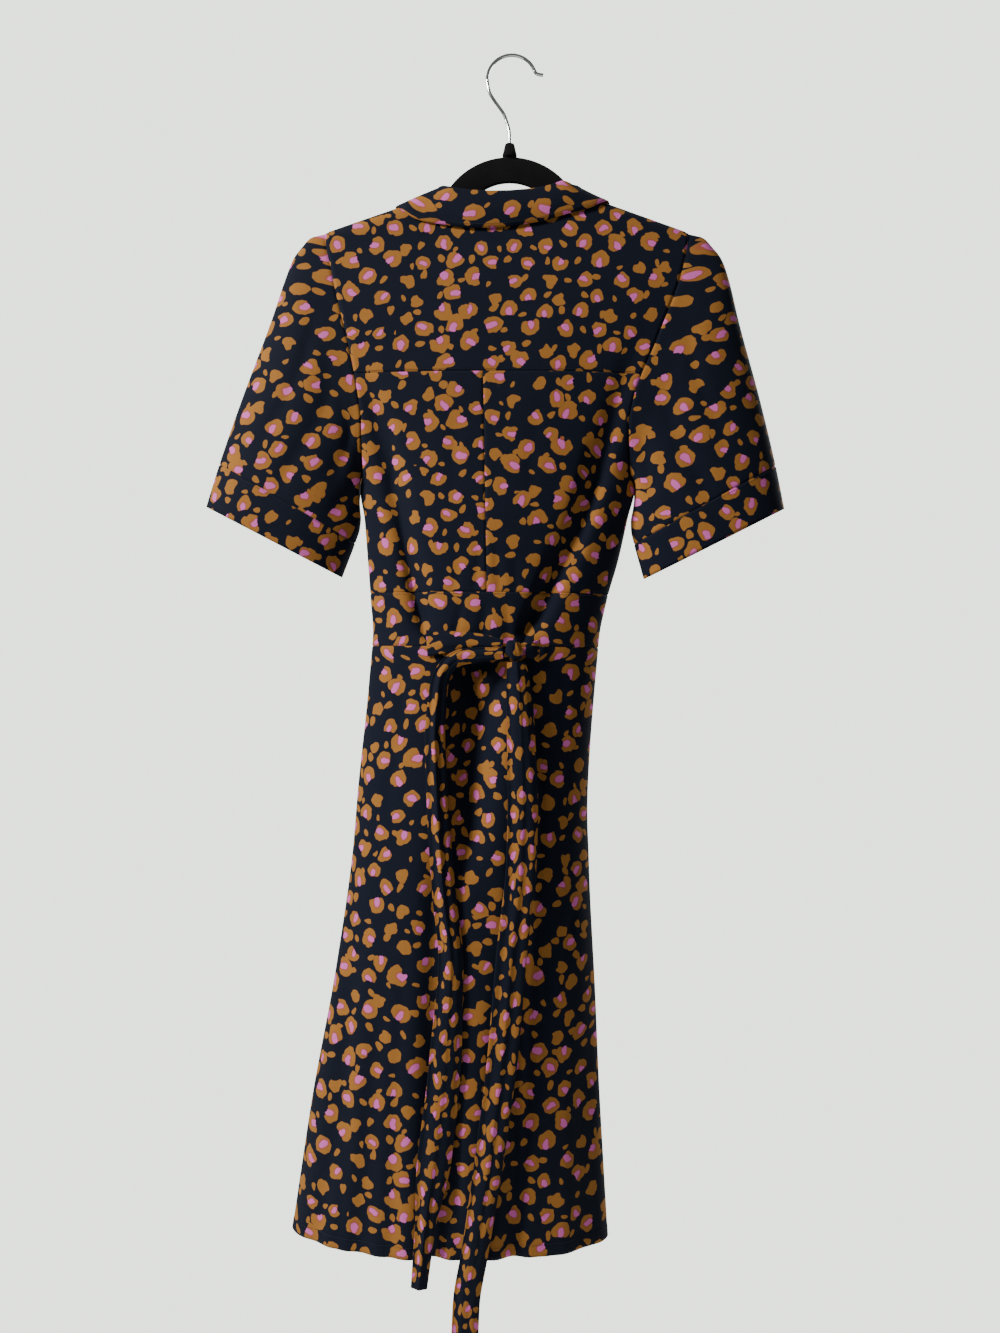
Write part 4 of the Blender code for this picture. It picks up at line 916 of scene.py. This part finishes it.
def sleeve_grid(first, last, mirror, sewn):
    """Points round and down a stretch of a sleeve, which takes the shape of the dress's side at
    its head and its own flat, slanting shape further down."""
    along = first + (last - first) * shares(SLEEVE_LONG * (last - first), 3.8, sewn)
    turn = (np.arange(SLEEVE_ROUND) / SLEEVE_ROUND + 0.5) % 1.0
    if mirror > 0:
        turn = (1 - turn) % 1.0
    around, along = turn[:, None], along[None, :]
    side = np.where(around < 0.5, -1, 1)
    down = (1 - np.cos(2 * np.pi * around)) / 2
    pick = [column(SLEEVE, key, along) for key in range(1, 7)]
    x = pick[0] + (pick[2] - pick[0]) * down
    z = pick[1] + (pick[3] - pick[1]) * down
    crown = (1 - np.abs(2 * down - 1) ** 2.4) ** 0.6
    y = side * np.where(side < 0, pick[4], pick[5]) * crown
    top = ridge(217.0)
    hole_z = top + (UNDERARM - top) * down
    over = np.minimum((top - hole_z) / RIDGE_ROUND, 1.0)
    hole_y = side * (np.sqrt(1 - (1 - over) ** 2) * column(BODY, 3, hole_z) + SEAM_GAP)
    hole_x = column(BODY, 1, hole_z) + 0.5 + 1.2 * ease((-z - 440) / 60)
    bow = hole_x - SHOULDER_OUT * (1 - down) - UNDERARM_OUT * down
    x = x + bow * (1 - ease(along / 0.484))
    blend = 1 - ease(along / 0.22)
    y = y * (1 - blend) + hole_y * blend
    x = x + (hole_x - x) * (1 - ease(along / 0.05))
    z = z + down ** 2 * (hole_z - z) * (1 - ease(along / 0.3))
    mid = 7.0 * (1 - down) + 8.5 * down
    mid = mid * ease(along / 0.3) + column(BODY, 2, z) * (1 - ease(along / 0.3))
    points = np.stack(np.broadcast_arrays(mirror * x + mid, y, z), axis=-1)
    dent = np.zeros(points.shape[:2])
    for share, begin, end, wide, deep, back in SLEEVE_FOLDS:
        run = ease((along - begin) / 0.2) * ease((end - along) / 0.25) * (side == -back)
        line = share + 0.03 * mirror + 0.05 * np.sin(along * 5)
        dent += deep * run * np.exp(-((down - line) / wide) ** 2)
    facing = grid_normals(points, 1, True)
    facing *= np.sign(np.sum(facing[..., 1] * np.sign(points[..., 1])))
    return points - facing * (dent * np.minimum(crown * 1.5, 1.0))[..., None]


def sleeve_flat(grid):
    """Flat places on a sleeve, laid out to both sides of the fold down its outer edge, with the
    seam at its inner edge."""
    half = len(grid) // 2
    loop = np.concatenate((grid, grid[:1]))
    level_loop = loop * (1, 0, 1)
    around, across = run_of(loop, 0), run_of(level_loop, 0)
    extra = np.abs(around - around[half]) - np.abs(across - across[half])
    side = np.sign(around - around[half])
    outer, inner = level_loop[half], level_loop[0]
    run = (outer[-1] - outer[0]) / np.linalg.norm(outer[-1] - outer[0])
    inward = np.cross(run, (0, 1, 0))
    inward *= math.copysign(1.0, (inner[-1] - outer[-1]) @ inward)
    chord = (inner - outer) / np.linalg.norm(inner - outer, axis=1, keepdims=True)
    away, down = (level_loop - outer[0]) @ inward, (level_loop - outer[0]) @ run
    bent = (outer - outer[0]) @ inward
    away = away - bent * np.exp(-((around - around[half]) / 100.0) ** 2)
    return np.stack((side * (away + extra * (chord @ inward)), -down - extra * (chord @ run)), axis=-1)


for label, mirror in (("left", -1), ("right", 1)):
    for part_name, first, last, sewn, shift, flat, area in (
            ("sleeve_%s", 0.0, BAND_ALONG, (0, 0, 1, 1), (300 * mirror, 2000), (0.46, 0.31), 0.085),
            ("sleeve_band_%s", BAND_ALONG, 1.0, (0, 0, 1, 0), (280 * mirror, 2600), (0.38, 0.058), 0.020)):
        grid = sleeve_grid(first, last, mirror, sewn[2:])
        cloth(part_name % label + "_cloth", grid, -1, sewn, shift, [part_name % label],
              closed=True, flat=sleeve_flat(grid))

# ---------------------------------------------------------------- collar
# Convertible collar: a stand sewn to the neckline and a leaf that turns over it, with the
# points in front. Its outer edge is topstitched.
COLLAR_SEAM = (
    # around, neck_away, neck_path
    (0.00, 0, -62), (0.20, 34, -49), (0.36, 61, -31), (0.48, 77, -12), (0.56, 84, 0), (0.66, 90, 20),
    (0.82, 76, 80), (1.00, 56, 140),
)
COLLAR_LEFT = (
    # around, edge_away, edge_path, rise, lean, push, bow, clear
    (0.00, 0, -83, 21.5, 0, -1, 3, 3),
    (0.20, 38, -71, 20, 0, -1, 3, 3),
    (0.36, 74, -54, 14, 0, -1, 1.5, 3),
    (0.48, 112, -31, 7, 1, 0, 0.5, 2.6),
    (0.56, 132, 0, 6, 2, 1, 0.5, 2.4),
    (0.66, 133, 25, 6, 3, 3, 1.5, 2.8),
    (0.82, 122, 92, 4, 4, 5, 3, 3),
    (1.00, 98, 158, 2, 4, 5, 3, 3),
)
COLLAR_RIGHT = (
    (0.00, 0, -83, 21.5, 0, -1, 3, 3),
    (0.20, 38, -63, 23.5, 0, -1, 3, 3),
    (0.36, 72, -41, 22.5, 0, -1, 3, 3),
    (0.48, 104, -19, 8, 1, 0, 1, 3.5),
    (0.56, 117, 0, 6, 2, 1, -0.5, 3.2),
    (0.66, 122, 25, 7, 3, 3, 1.5, 3),
    (0.82, 120, 92, 4, 4, 5, 3, 3),
    (1.00, 98, 158, 2, 4, 5, 3, 3),
)


def body_frame(u, path):
    """Point and outward direction of the body form at one place."""
    point = body_points(u, path)
    across = body_points(u + 0.004, path) - body_points(u - 0.004, path)
    down = body_points(u, path + 0.6) - body_points(u, path - 0.6)
    normal = np.cross(across, down)
    normal /= np.linalg.norm(normal)
    outward = np.array((point[0], point[1] * 3, 40.0 if abs(path) < RIDGE_ARC else 0.0))
    return point, normal if normal @ outward > 0 else -normal


def near_shoulder(x, path):
    return body_frame(float(u_of(x, ridge(x) - 30)), path)


def neck_seam(signed):
    """Point of the seam between the collar and the neckline, from -1 (left front) over 0
    (middle of the back) to 1 (right front)."""
    around, mirror = abs(signed), math.copysign(1.0, signed)
    path = float(column(COLLAR_SEAM, 2, around))
    x = MIDDLE + mirror * float(column(COLLAR_SEAM, 1, around))
    if path > SHOULDER_LAP:
        x = float(front_neck_x(path, mirror))
    return near_shoulder(x - mirror * 2.2 * float(ease(around / 0.36)), path)[0]


COLLAR_FOLD = 2.6         # radius of its fold


def collar_section(signed):
    """Line up the stand, round the fold and down the leaf at one place along the collar."""
    around, mirror = abs(signed), math.copysign(1.0, signed)
    table = COLLAR_LEFT if signed < 0 else COLLAR_RIGHT
    edge_away, edge_path, rise, sway, push, bow, clear = [
        float(column(table, key, around)) for key in range(1, 8)]
    neck = neck_seam(signed)
    edge, edge_normal = near_shoulder(MIDDLE + mirror * edge_away, edge_path)
    edge = edge + edge_normal * clear
    rise_line = np.array((-mirror * sway, push, rise))
    up = rise_line / np.linalg.norm(rise_line)
    along = neck_seam(min(signed + 0.03, 1.0)) - neck_seam(max(signed - 0.03, -1.0))
    outward = np.cross(along, up)
    outward *= math.copysign(1.0, outward @ (edge - neck)) / np.linalg.norm(outward)
    line = [neck + up * share for share in (0.3, 1.2)]
    line += [neck + rise_line * share for share in (0.2, 0.4, 0.6, 0.8)]
    centre = neck + rise_line + (outward - up) * COLLAR_FOLD
    for angle in np.linspace(0, math.pi, 9):
        line.append(centre + (up * math.sin(angle) - outward * math.cos(angle)) * COLLAR_FOLD)
    last = line[-1]
    for share in np.linspace(0.12, 1.0, 9):
        line.append(last + (edge - last) * share + outward * bow * math.sin(math.pi * share))
    return line


def along_grid(grid, reference):
    """Flat places on a strip: along one line of it, and across from its first line."""
    along = run_of(grid[:, reference:reference + 1], 0)
    return np.stack(np.broadcast_arrays(along, run_of(grid, 1)), axis=-1)


collar_grid = np.array([collar_section(float(t)) for t in np.linspace(-1, 1, 141)])
cloth("collar_cloth", collar_grid, -1, UNSEWN, (0, 3000), ["collar"],
      thick=1.1,
      flat=along_grid(collar_grid, 10))

# ---------------------------------------------------------------- button band
# Folded band along the right front, from the V to the hem, laid over the left front, with
# eleven four-hole buttons of dark resin sewn on.
band_z = V_POINT + (HEM - V_POINT) * shares(1033.0, 5.0, (False, False))
band_x = np.array((-15.0, -14.6, -13.5, -10, -6, -2, 2, 6, 10, 12.6, 14.0, 14.85))
band_place = np.meshgrid(band_x, band_z, indexing="ij")
cloth("button_band_cloth", body_points(u_of(*band_place), path_at(*band_place)), 1, UNSEWN, (1400, 400),
      ["button_band"], thick=1.2)

resin, tree, shader = material("button_resin", 0.28)
tones(tree, shader, speckle(tree, 160.0, 4.0), (0.006, 0.007, 0.011), (0.03, 0.032, 0.045))
thread_finish, tree, shader = material("sewing_thread", 0.75)
tones(tree, shader, speckle(tree, 2500.0, 2.0), (0.006, 0.008, 0.014), (0.02, 0.024, 0.038))
FIRST_BUTTON, BUTTON_STEP, BUTTONS = -372.0, 86.0, 11
BUTTON_OUT = 2.3          # from the body form to the middle of a button
HOLE_AWAY, HOLE = 0.95, 0.55   # a hole's place beside the middle, both ways, and its radius
BUTTON_SIDES, HOLE_SIDES = 32, 12
BUTTON_FACE = 0.6         # height of the dished middle


def button_mesh(name, turn):
    """A round button with a rim, a dished middle and four holes, its back to the cloth."""
    bm = bmesh.new()

    def ring_of(radius, height, count=BUTTON_SIDES, start=0.0, middle=(0.0, 0.0)):
        return [bm.verts.new(turn @ Vector((middle[0] + x, middle[1] + y, height)))
                for x, y in circle(radius, count, start)]

    rings = [ring_of(radius, height) for radius, height in (
        (1.2, -1.25), (4.6, -1.25), (5.5, -0.7), (5.75, 0.1), (5.5, 0.85), (4.9, 1.15), (4.2, 1.05),
        (3.7, 0.7), (3.0, BUTTON_FACE))]
    loft(bm, rings)
    inner = rings[-1]
    bm.faces.remove(bm.faces.get(inner))
    quarter = BUTTON_SIDES // 4
    centre = bm.verts.new(turn @ Vector((0, 0, BUTTON_FACE)))
    for index, (across, up) in enumerate(((1, 1), (-1, 1), (-1, -1), (1, -1))):
        begin = math.pi / 4 * (1 + 2 * index) + math.pi
        rim, floor = [ring_of(HOLE, height, HOLE_SIDES, begin, (HOLE_AWAY * across, HOLE_AWAY * up))
                      for height in (BUTTON_FACE, -BUTTON_FACE)]
        for k in range(HOLE_SIDES):
            bm.faces.new((rim[k], rim[k - 1], floor[k - 1], floor[k]))
        bm.faces.new(floor)
        outer = [centre] + [inner[(index * quarter + k) % BUTTON_SIDES] for k in range(quarter + 1)]
        edges = [bm.edges.get(pair) or bm.edges.new(pair) for pair in zip(outer, outer[1:] + outer[:1])]
        edges += [bm.edges.get((rim[k], rim[k - 1])) for k in range(HOLE_SIDES)]
        bmesh.ops.triangle_fill(bm, edges=edges, use_beauty=True)
    return mesh_of(bm, name)


def thread_bars(bm, turn):
    """Two short bars of thread through the four holes of a button."""
    for offset in (-HOLE_AWAY, HOLE_AWAY):
        loft(bm, [[bm.verts.new(turn @ Vector((along, offset + y, height + z)))
                   for y, z in circle(size, 6)]
                  for along, height, size in ((-1.15, 0.35, 0.16), (-0.95, 0.62, 0.27), (-0.4, 0.86, 0.30),
                                              (0.4, 0.86, 0.30), (0.95, 0.62, 0.27), (1.15, 0.35, 0.16))])


thread_bm = bmesh.new()
for i in range(BUTTONS):
    z = FIRST_BUTTON - BUTTON_STEP * i
    point, normal = body_frame(float(u_of(0.0, z)), float(path_at(0.0, z)))
    centre = lean(point + normal * BUTTON_OUT) / 1000
    turn = Matrix.Translation(centre) @ Vector(normal).to_track_quat("Z", "Y").to_matrix().to_4x4()
    turn = turn @ Matrix.Rotation(0.3 * math.sin(i * 2.1), 4, "Z") @ Matrix.Scale(0.001, 4)
    name = "button_%02d" % (i + 1)
    button = piece(name + "_resin", button_mesh(name, turn), resin, [name])
    button.data.set_sharp_from_angle(angle=math.radians(40))
    thread_bars(thread_bm, turn)
piece("button_threads", mesh_of(thread_bm, "button_threads"), thread_finish)

# ---------------------------------------------------------------- ties
# Two ties of the same cotton, sewn as flat tubes into the lower seam of the waistband and
# knotted once. Creased along their length, they hang down the back from the knot.
KNOT = Vector((37.0, -55.2, -700.0))
ROOT_LEFT = (
    # x, y, z, half width, height of the crease
    (-62, -43.9, -697, 15, 0), (-35, -49.5, -694, 12, 3), (-5, -51.5, -693, 10, 3),
    (24, -53.5, -696, 7, 2),
)
ROOT_RIGHT = ((66, -44.3, -699, 13, 0), (59, -50, -699, 10, 2), (50.3, -53.5, -699.5, 7, 2))
TAIL_LEFT = (
    (24.8, -57.5, -704, 6, 2), (0, -56, -707, 8, 3), (-22, -54, -711, 9, 3),
    (-37, -52.5, -722, 9, 4), (-45, -51, -742, 10, 5), (-47, -52.5, -791, 11, 6),
    (-39, -57.5, -882, 12, 7), (-27.5, -61.5, -973, 13, 7), (-14.5, -65, -1063, 14, 6),
    (-15.5, -67.5, -1164, 18, 5), (-21.5, -68, -1265, 19, 5), (-28.5, -67.5, -1351, 11, 5),
    (-31.5, -68, -1414, 9, 4),
)
TAIL_RIGHT = (
    (40, -54.5, -712.5, 10, 4), (44.5, -53, -740, 14, 7), (50.5, -54.5, -801, 16, 6),
    (56.5, -58, -882, 17, 4), (57.5, -60.5, -942, 17, 3), (51.5, -64.5, -1048, 17, 3),
    (48.5, -67, -1139, 17, 3), (39.5, -69.5, -1260, 16, 4), (29, -70.5, -1366, 15, 4),
    (22, -70, -1431, 15, 3), (23, -69, -1500, 15, 2),
)


def strip_grid(rows, across, steps):
    """Grid of a tie's stretch along its rows, creased outwards along its length."""
    numbered = [(i, *row) for i, row in enumerate(rows)]
    t = np.linspace(0, len(rows) - 1, steps + 1)
    middle = np.stack([column(numbered, k, t) for k in (1, 2, 3)], axis=-1)
    half, crease = column(numbered, 4, t), column(numbered, 5, t)
    low, high = np.maximum(t - 0.05, 0), np.minimum(t + 0.05, len(rows) - 1)
    run = [column(numbered, k, high) - column(numbered, k, low) for k in (1, 3)]
    sideways = np.stack((-run[1], np.zeros(t.shape), run[0]), axis=-1)
    sideways /= np.linalg.norm(sideways, axis=1, keepdims=True)
    s = np.linspace(-1, 1, across + 1)
    grid = middle[None] + sideways[None] * (half[None, :] * s[:, None])[..., None]
    grid[..., 1] -= crease[None, :] * (1 - np.abs(s[:, None])) ** 1.2
    curl = np.sin(7.5 * s[:, None] + 1.1 * np.sin(0.9 * t[None, :]))
    curl = curl * (0.55 + 0.45 * np.abs(s[:, None]) ** 3)
    grid[..., 1] += curl * ease(t[None, :]) * ease((len(rows) - 1 - t[None, :]) / 0.6)
    return grid


def knot_mesh():
    """The knot: a soft core with the left tie wound over it once, from top left to lower right."""
    bm = bmesh.new()
    bmesh.ops.create_uvsphere(bm, u_segments=64, v_segments=40, radius=1.0)
    layer = bm.loops.layers.uv.new("cloth")
    for vert in bm.verts:
        x, y, z = vert.co
        across = x * 0.93 + z * 0.36
        wound = 1 / (1 + math.exp((abs(across) - 0.52) / 0.035))
        crease = 0.035 * math.exp(-((across - 0.16) / 0.06) ** 2) + 0.02 * math.sin(9 * across)
        pinched = 0.80 + 0.05 * math.sin(7 * z + 3 * x)
        size = (pinched + (0.985 - crease - pinched) * wound) * 0.98
        vert.co = Vector((x * 13, y * 8.6, z * 12.6)) * size
    for face in bm.faces:
        for loop in face.loops:
            x, y, z = loop.vert.co
            loop[layer].uv = ((x + 1800) / 1000, (z + 1550) / 1000)
    to_place = Matrix.Translation(KNOT / 1000) @ Matrix.Scale(0.001, 4)
    bmesh.ops.transform(bm, matrix=to_place, verts=bm.verts)
    return mesh_of(bm, "tie_knot_cloth")


knot = piece("tie_knot_cloth", knot_mesh(), printed_cotton, ["tie_knot"])


def tie(node_name, rows, across, steps, shift):
    """A tie's stretch. Its print is drawn together across it, because the tie is rolled in. Its
    rows are where it hangs, so the dress's lean is taken off before cloth adds it."""
    grid = strip_grid(rows, across, steps)
    flat = along_grid(grid.swapaxes(0, 1), across // 2).swapaxes(0, 1)[..., ::-1] * (1.7, 1.0)
    grid[..., 2] -= grid[..., 0] * column(TILT, 1, grid[..., 2])
    cloth(node_name + "_cloth", grid, -1, UNSEWN, shift, [node_name],
          thick=1.4, flat=flat)


tie("tie_root_left", ROOT_LEFT, 10, 40, (1500, 1500))
tie("tie_root_right", ROOT_RIGHT, 10, 14, (1560, 1510))
tie("tie_end_left", TAIL_LEFT, 30, 260, (1620, 1520))
tie("tie_end_right", TAIL_RIGHT, 30, 260, (1690, 1530))

# ---------------------------------------------------------------- topstitching
# Rows of dark thread beside the yoke and waist seams, and along the hem, the bands and the
# collar's edge, about nine stitches to 25 mm, laid by geometry nodes on lines over the cloth.
SEAM_ROW = 2.2            # from a seam to its row of stitches
HEM_ROW = 13.0


def stitch_line_tool():
    """Lays a stitch every Spacing along edges, flat on the cloth by their stored direction."""
    made = bpy.data.node_groups.new("stitch_line", "GeometryNodeTree")
    for label, kind, value in (("Line", "Geometry", None), ("Spacing", "Float", 0.0029),
                               ("Length", "Float", 0.0024), ("Thread", "Float", 0.00042),
                               ("Finish", "Material", None)):
        socket = made.interface.new_socket(name=label, in_out="INPUT", socket_type="NodeSocket" + kind)
        if value:
            socket.default_value = value
    made.interface.new_socket(name="Stitches", in_out="OUTPUT", socket_type="NodeSocketGeometry")
    given, gives = made.nodes.new("NodeGroupInput"), made.nodes.new("NodeGroupOutput")
    lines = node(made, "GeometryNodeMeshToCurve", given.outputs["Line"])
    spaced = node(made, "GeometryNodeResampleCurve", lines.outputs["Curve"], mode="LENGTH")
    made.links.new(given.outputs["Spacing"], spaced.inputs["Length"])
    facing = node(made, "GeometryNodeInputNamedAttribute", "facing", data_type="FLOAT_VECTOR")
    upright = node(made, "FunctionNodeAlignRotationToVector", axis="Z")
    made.links.new(facing.outputs["Attribute"], upright.inputs["Vector"])
    along = node(made, "FunctionNodeAlignRotationToVector", upright.outputs["Rotation"], axis="X",
                 pivot_axis="Z")
    run = made.nodes.new("GeometryNodeInputTangent").outputs["Tangent"]
    made.links.new(run, along.inputs["Vector"])
    uneven = node(made, "FunctionNodeRandomValue", data_type="FLOAT")
    for socket in uneven.inputs:
        if socket.enabled and socket.name in ("Min", "Max", "Seed"):
            socket.default_value = {"Min": 0.86, "Max": 1.0, "Seed": 4}[socket.name]
    drawn = [socket for socket in uneven.outputs if socket.enabled][0]
    thread = node(made, "GeometryNodeMeshUVSphere", 6, 4, 0.5)
    scale = node(made, "ShaderNodeCombineXYZ", maths(made, "MULTIPLY", given.outputs["Length"], drawn),
                 given.outputs["Thread"], given.outputs["Thread"])
    placed = made.nodes.new("GeometryNodeInstanceOnPoints")
    for socket, value in (("Points", spaced.outputs["Curve"]), ("Instance", thread.outputs["Mesh"]),
                          ("Rotation", along.outputs["Rotation"]), ("Scale", scale.outputs["Vector"])):
        made.links.new(value, placed.inputs[socket])
    real = node(made, "GeometryNodeRealizeInstances", placed.outputs["Instances"])
    finished = node(made, "GeometryNodeSetMaterial", real.outputs["Geometry"])
    made.links.new(given.outputs["Finish"], finished.inputs["Material"])
    made.links.new(finished.outputs["Geometry"], gives.inputs["Stitches"])
    return made


def surface_line(u, path):
    """Points along a line on the body form, with the form's outward directions there."""
    u, path = np.broadcast_arrays(np.asarray(u, float), np.asarray(path, float))
    points = lean(body_points(u, path))
    across = lean(body_points(u + 0.004, path)) - lean(body_points(u - 0.004, path))
    down = lean(body_points(u, path + 0.6)) - lean(body_points(u, path - 0.6))
    normals = np.cross(across, down)
    normals /= np.linalg.norm(normals, axis=1, keepdims=True)
    return points, normals * np.sign(normals[:, 1] * np.sign(path))[:, None]


stitch_line = stitch_line_tool()


def stitched(name, lines, above=0.62):
    """One piece of stitches along several lines of points and directions, laid above them."""
    verts, edges, facing = [], [], []
    for points, normals in lines:
        start = len(verts)
        verts += [tuple((point + normal * above) / 1000) for point, normal in zip(points, normals)]
        facing += [tuple(normal) for normal in normals]
        edges += [(start + i, start + i + 1) for i in range(len(points) - 1)]
    mesh = bpy.data.meshes.new(name)
    mesh.from_pydata(verts, edges, [])
    mesh.attributes.new("facing", "FLOAT_VECTOR", "POINT").data.foreach_set(
        "vector", np.array(facing, np.float32).reshape(-1))
    made = in_scene(name, mesh)
    tool = made.modifiers.new("stitches", "NODES")
    tool.node_group = stitch_line
    for item in stitch_line.interface.items_tree:
        if item.name == "Finish":
            tool[item.identifier] = thread_finish
    laid = bpy.data.meshes.new_from_object(made.evaluated_get(bpy.context.evaluated_depsgraph_get()))
    made.modifiers.remove(tool)
    made.data = laid
    laid.name = name
    laid.shade_smooth()
    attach(made, "root")
    return made


def line_at(side, z, first=-0.985, last=0.985):
    """A level line of stitches over the back (-1) or the front (1)."""
    u = np.linspace(first, last, 120)
    return surface_line(u, side * level(z, u))


def beside_band(side, z):
    """A level line over one front, from its side seam to the button band."""
    edge = float(u_of(front_edge(side) * 1.08 if side > 0 else -BAND_HALF - 28.0, z))
    return line_at(1, z, *((edge, 0.985) if side > 0 else (-0.985, edge)))


stitched("yoke_stitches", [line_at(-1, YOKE_SEAM + SEAM_ROW)])
waist_rows = (WAIST_TOP - SEAM_ROW, WAIST_BOTTOM + SEAM_ROW)
stitched("waist_stitches", [line_at(-1, z) for z in waist_rows]
         + [beside_band(side, z) for side in (-1, 1) for z in waist_rows])
stitched("hem_stitches", [line_at(-1, HEM + HEM_ROW)]
         + [beside_band(side, HEM + HEM_ROW) for side in (-1, 1)], above=0.9)
band_line = np.linspace(V_POINT - 4.0, HEM + 3.0, 260)
stitched("band_stitches", [surface_line(u_of(np.full(260, x), band_line), path_at(x, band_line))
                           for x in (-13.0, 13.0)], above=0.85)

cuff_lines = []
for mirror in (-1, 1):
    cuff = lean(sleeve_grid(BAND_ALONG + 0.008, 1.0, mirror, (0, 0)))
    cuff_lines.append([np.concatenate((ring[:, 0], ring[:1, 0]))
                       for ring in (cuff, grid_normals(cuff, -1, True))])
stitched("cuff_stitches", cuff_lines)

leaf = lean(collar_grid).swapaxes(0, 1)
edge, inner = leaf[-1], leaf[-2]
inset = (inner - edge) * 4.5 / np.linalg.norm(inner - edge, axis=1, keepdims=True)
stitched("collar_stitches", [(edge + inset, grid_normals(leaf, 1)[-1])], above=0.8)

# ---------------------------------------------------------------- room
# Plain pale floor well below the hem, a pale surround, soft studio light, and the camera
# where the photograph was taken, rolled a little.
floor_finish, tree, shader = material("pale_floor", 0.7)
tones(tree, shader, speckle(tree, 3.0, 4.0), (0.84, 0.85, 0.83), (0.90, 0.91, 0.89))
floor_mesh = bpy.data.meshes.new("floor")
floor_mesh.from_pydata([(x, y, -1.85) for x, y in ((-1.6, -1.8), (1.6, -1.8), (1.6, 0.45), (-1.6, 0.45))],
                       [], [(0, 1, 2, 3)])
floor_mesh.materials.append(floor_finish)
in_scene("floor", floor_mesh)

world = bpy.data.worlds.new("surround")
world.use_nodes = True
background = world.node_tree.nodes["Background"]
background.inputs["Color"].default_value = (0.745, 0.795, 0.735, 1)
seen = node(world.node_tree, "ShaderNodeLightPath").outputs["Is Camera Ray"]
power = node(world.node_tree, "ShaderNodeMapRange", seen, 0.0, 1.0, 0.22, 3.12).outputs["Result"]
world.node_tree.links.new(power, background.inputs["Strength"])
bpy.context.scene.world = world


def area_light(name, place, size, power, colour):
    """A round light that is turned to the middle of the dress."""
    data = bpy.data.lights.new(name, "AREA")
    data.shape = "DISK"
    data.size = size
    data.energy = power
    data.color = colour
    lamp = in_scene(name, data)
    lamp.location = place
    lamp.rotation_euler = (Vector((0, 0, -0.7)) - Vector(place)).to_track_quat("-Z", "Y").to_euler()


area_light("window", (-2.4, -1.3, 0.8), 0.8, 165.0, (1.0, 0.98, 0.95))
area_light("fill", (1.8, 1.8, 0.6), 1.6, 95.0, (0.96, 0.98, 1.0))

camera = in_scene("camera", bpy.data.cameras.new("camera"))
camera.data.sensor_width = 36.0
camera.data.lens = 27.06
camera.data.clip_start = 0.05
roll = math.radians(3.0)
camera_place = (0.0223, -1.182, -0.719)
camera.matrix_world = Matrix(((math.cos(roll), -math.sin(roll), 0, camera_place[0]),
                              (0, 0, -1, camera_place[1]),
                              (math.sin(roll), math.cos(roll), 0, camera_place[2]),
                              (0, 0, 0, 1)))
bpy.context.scene.camera = camera
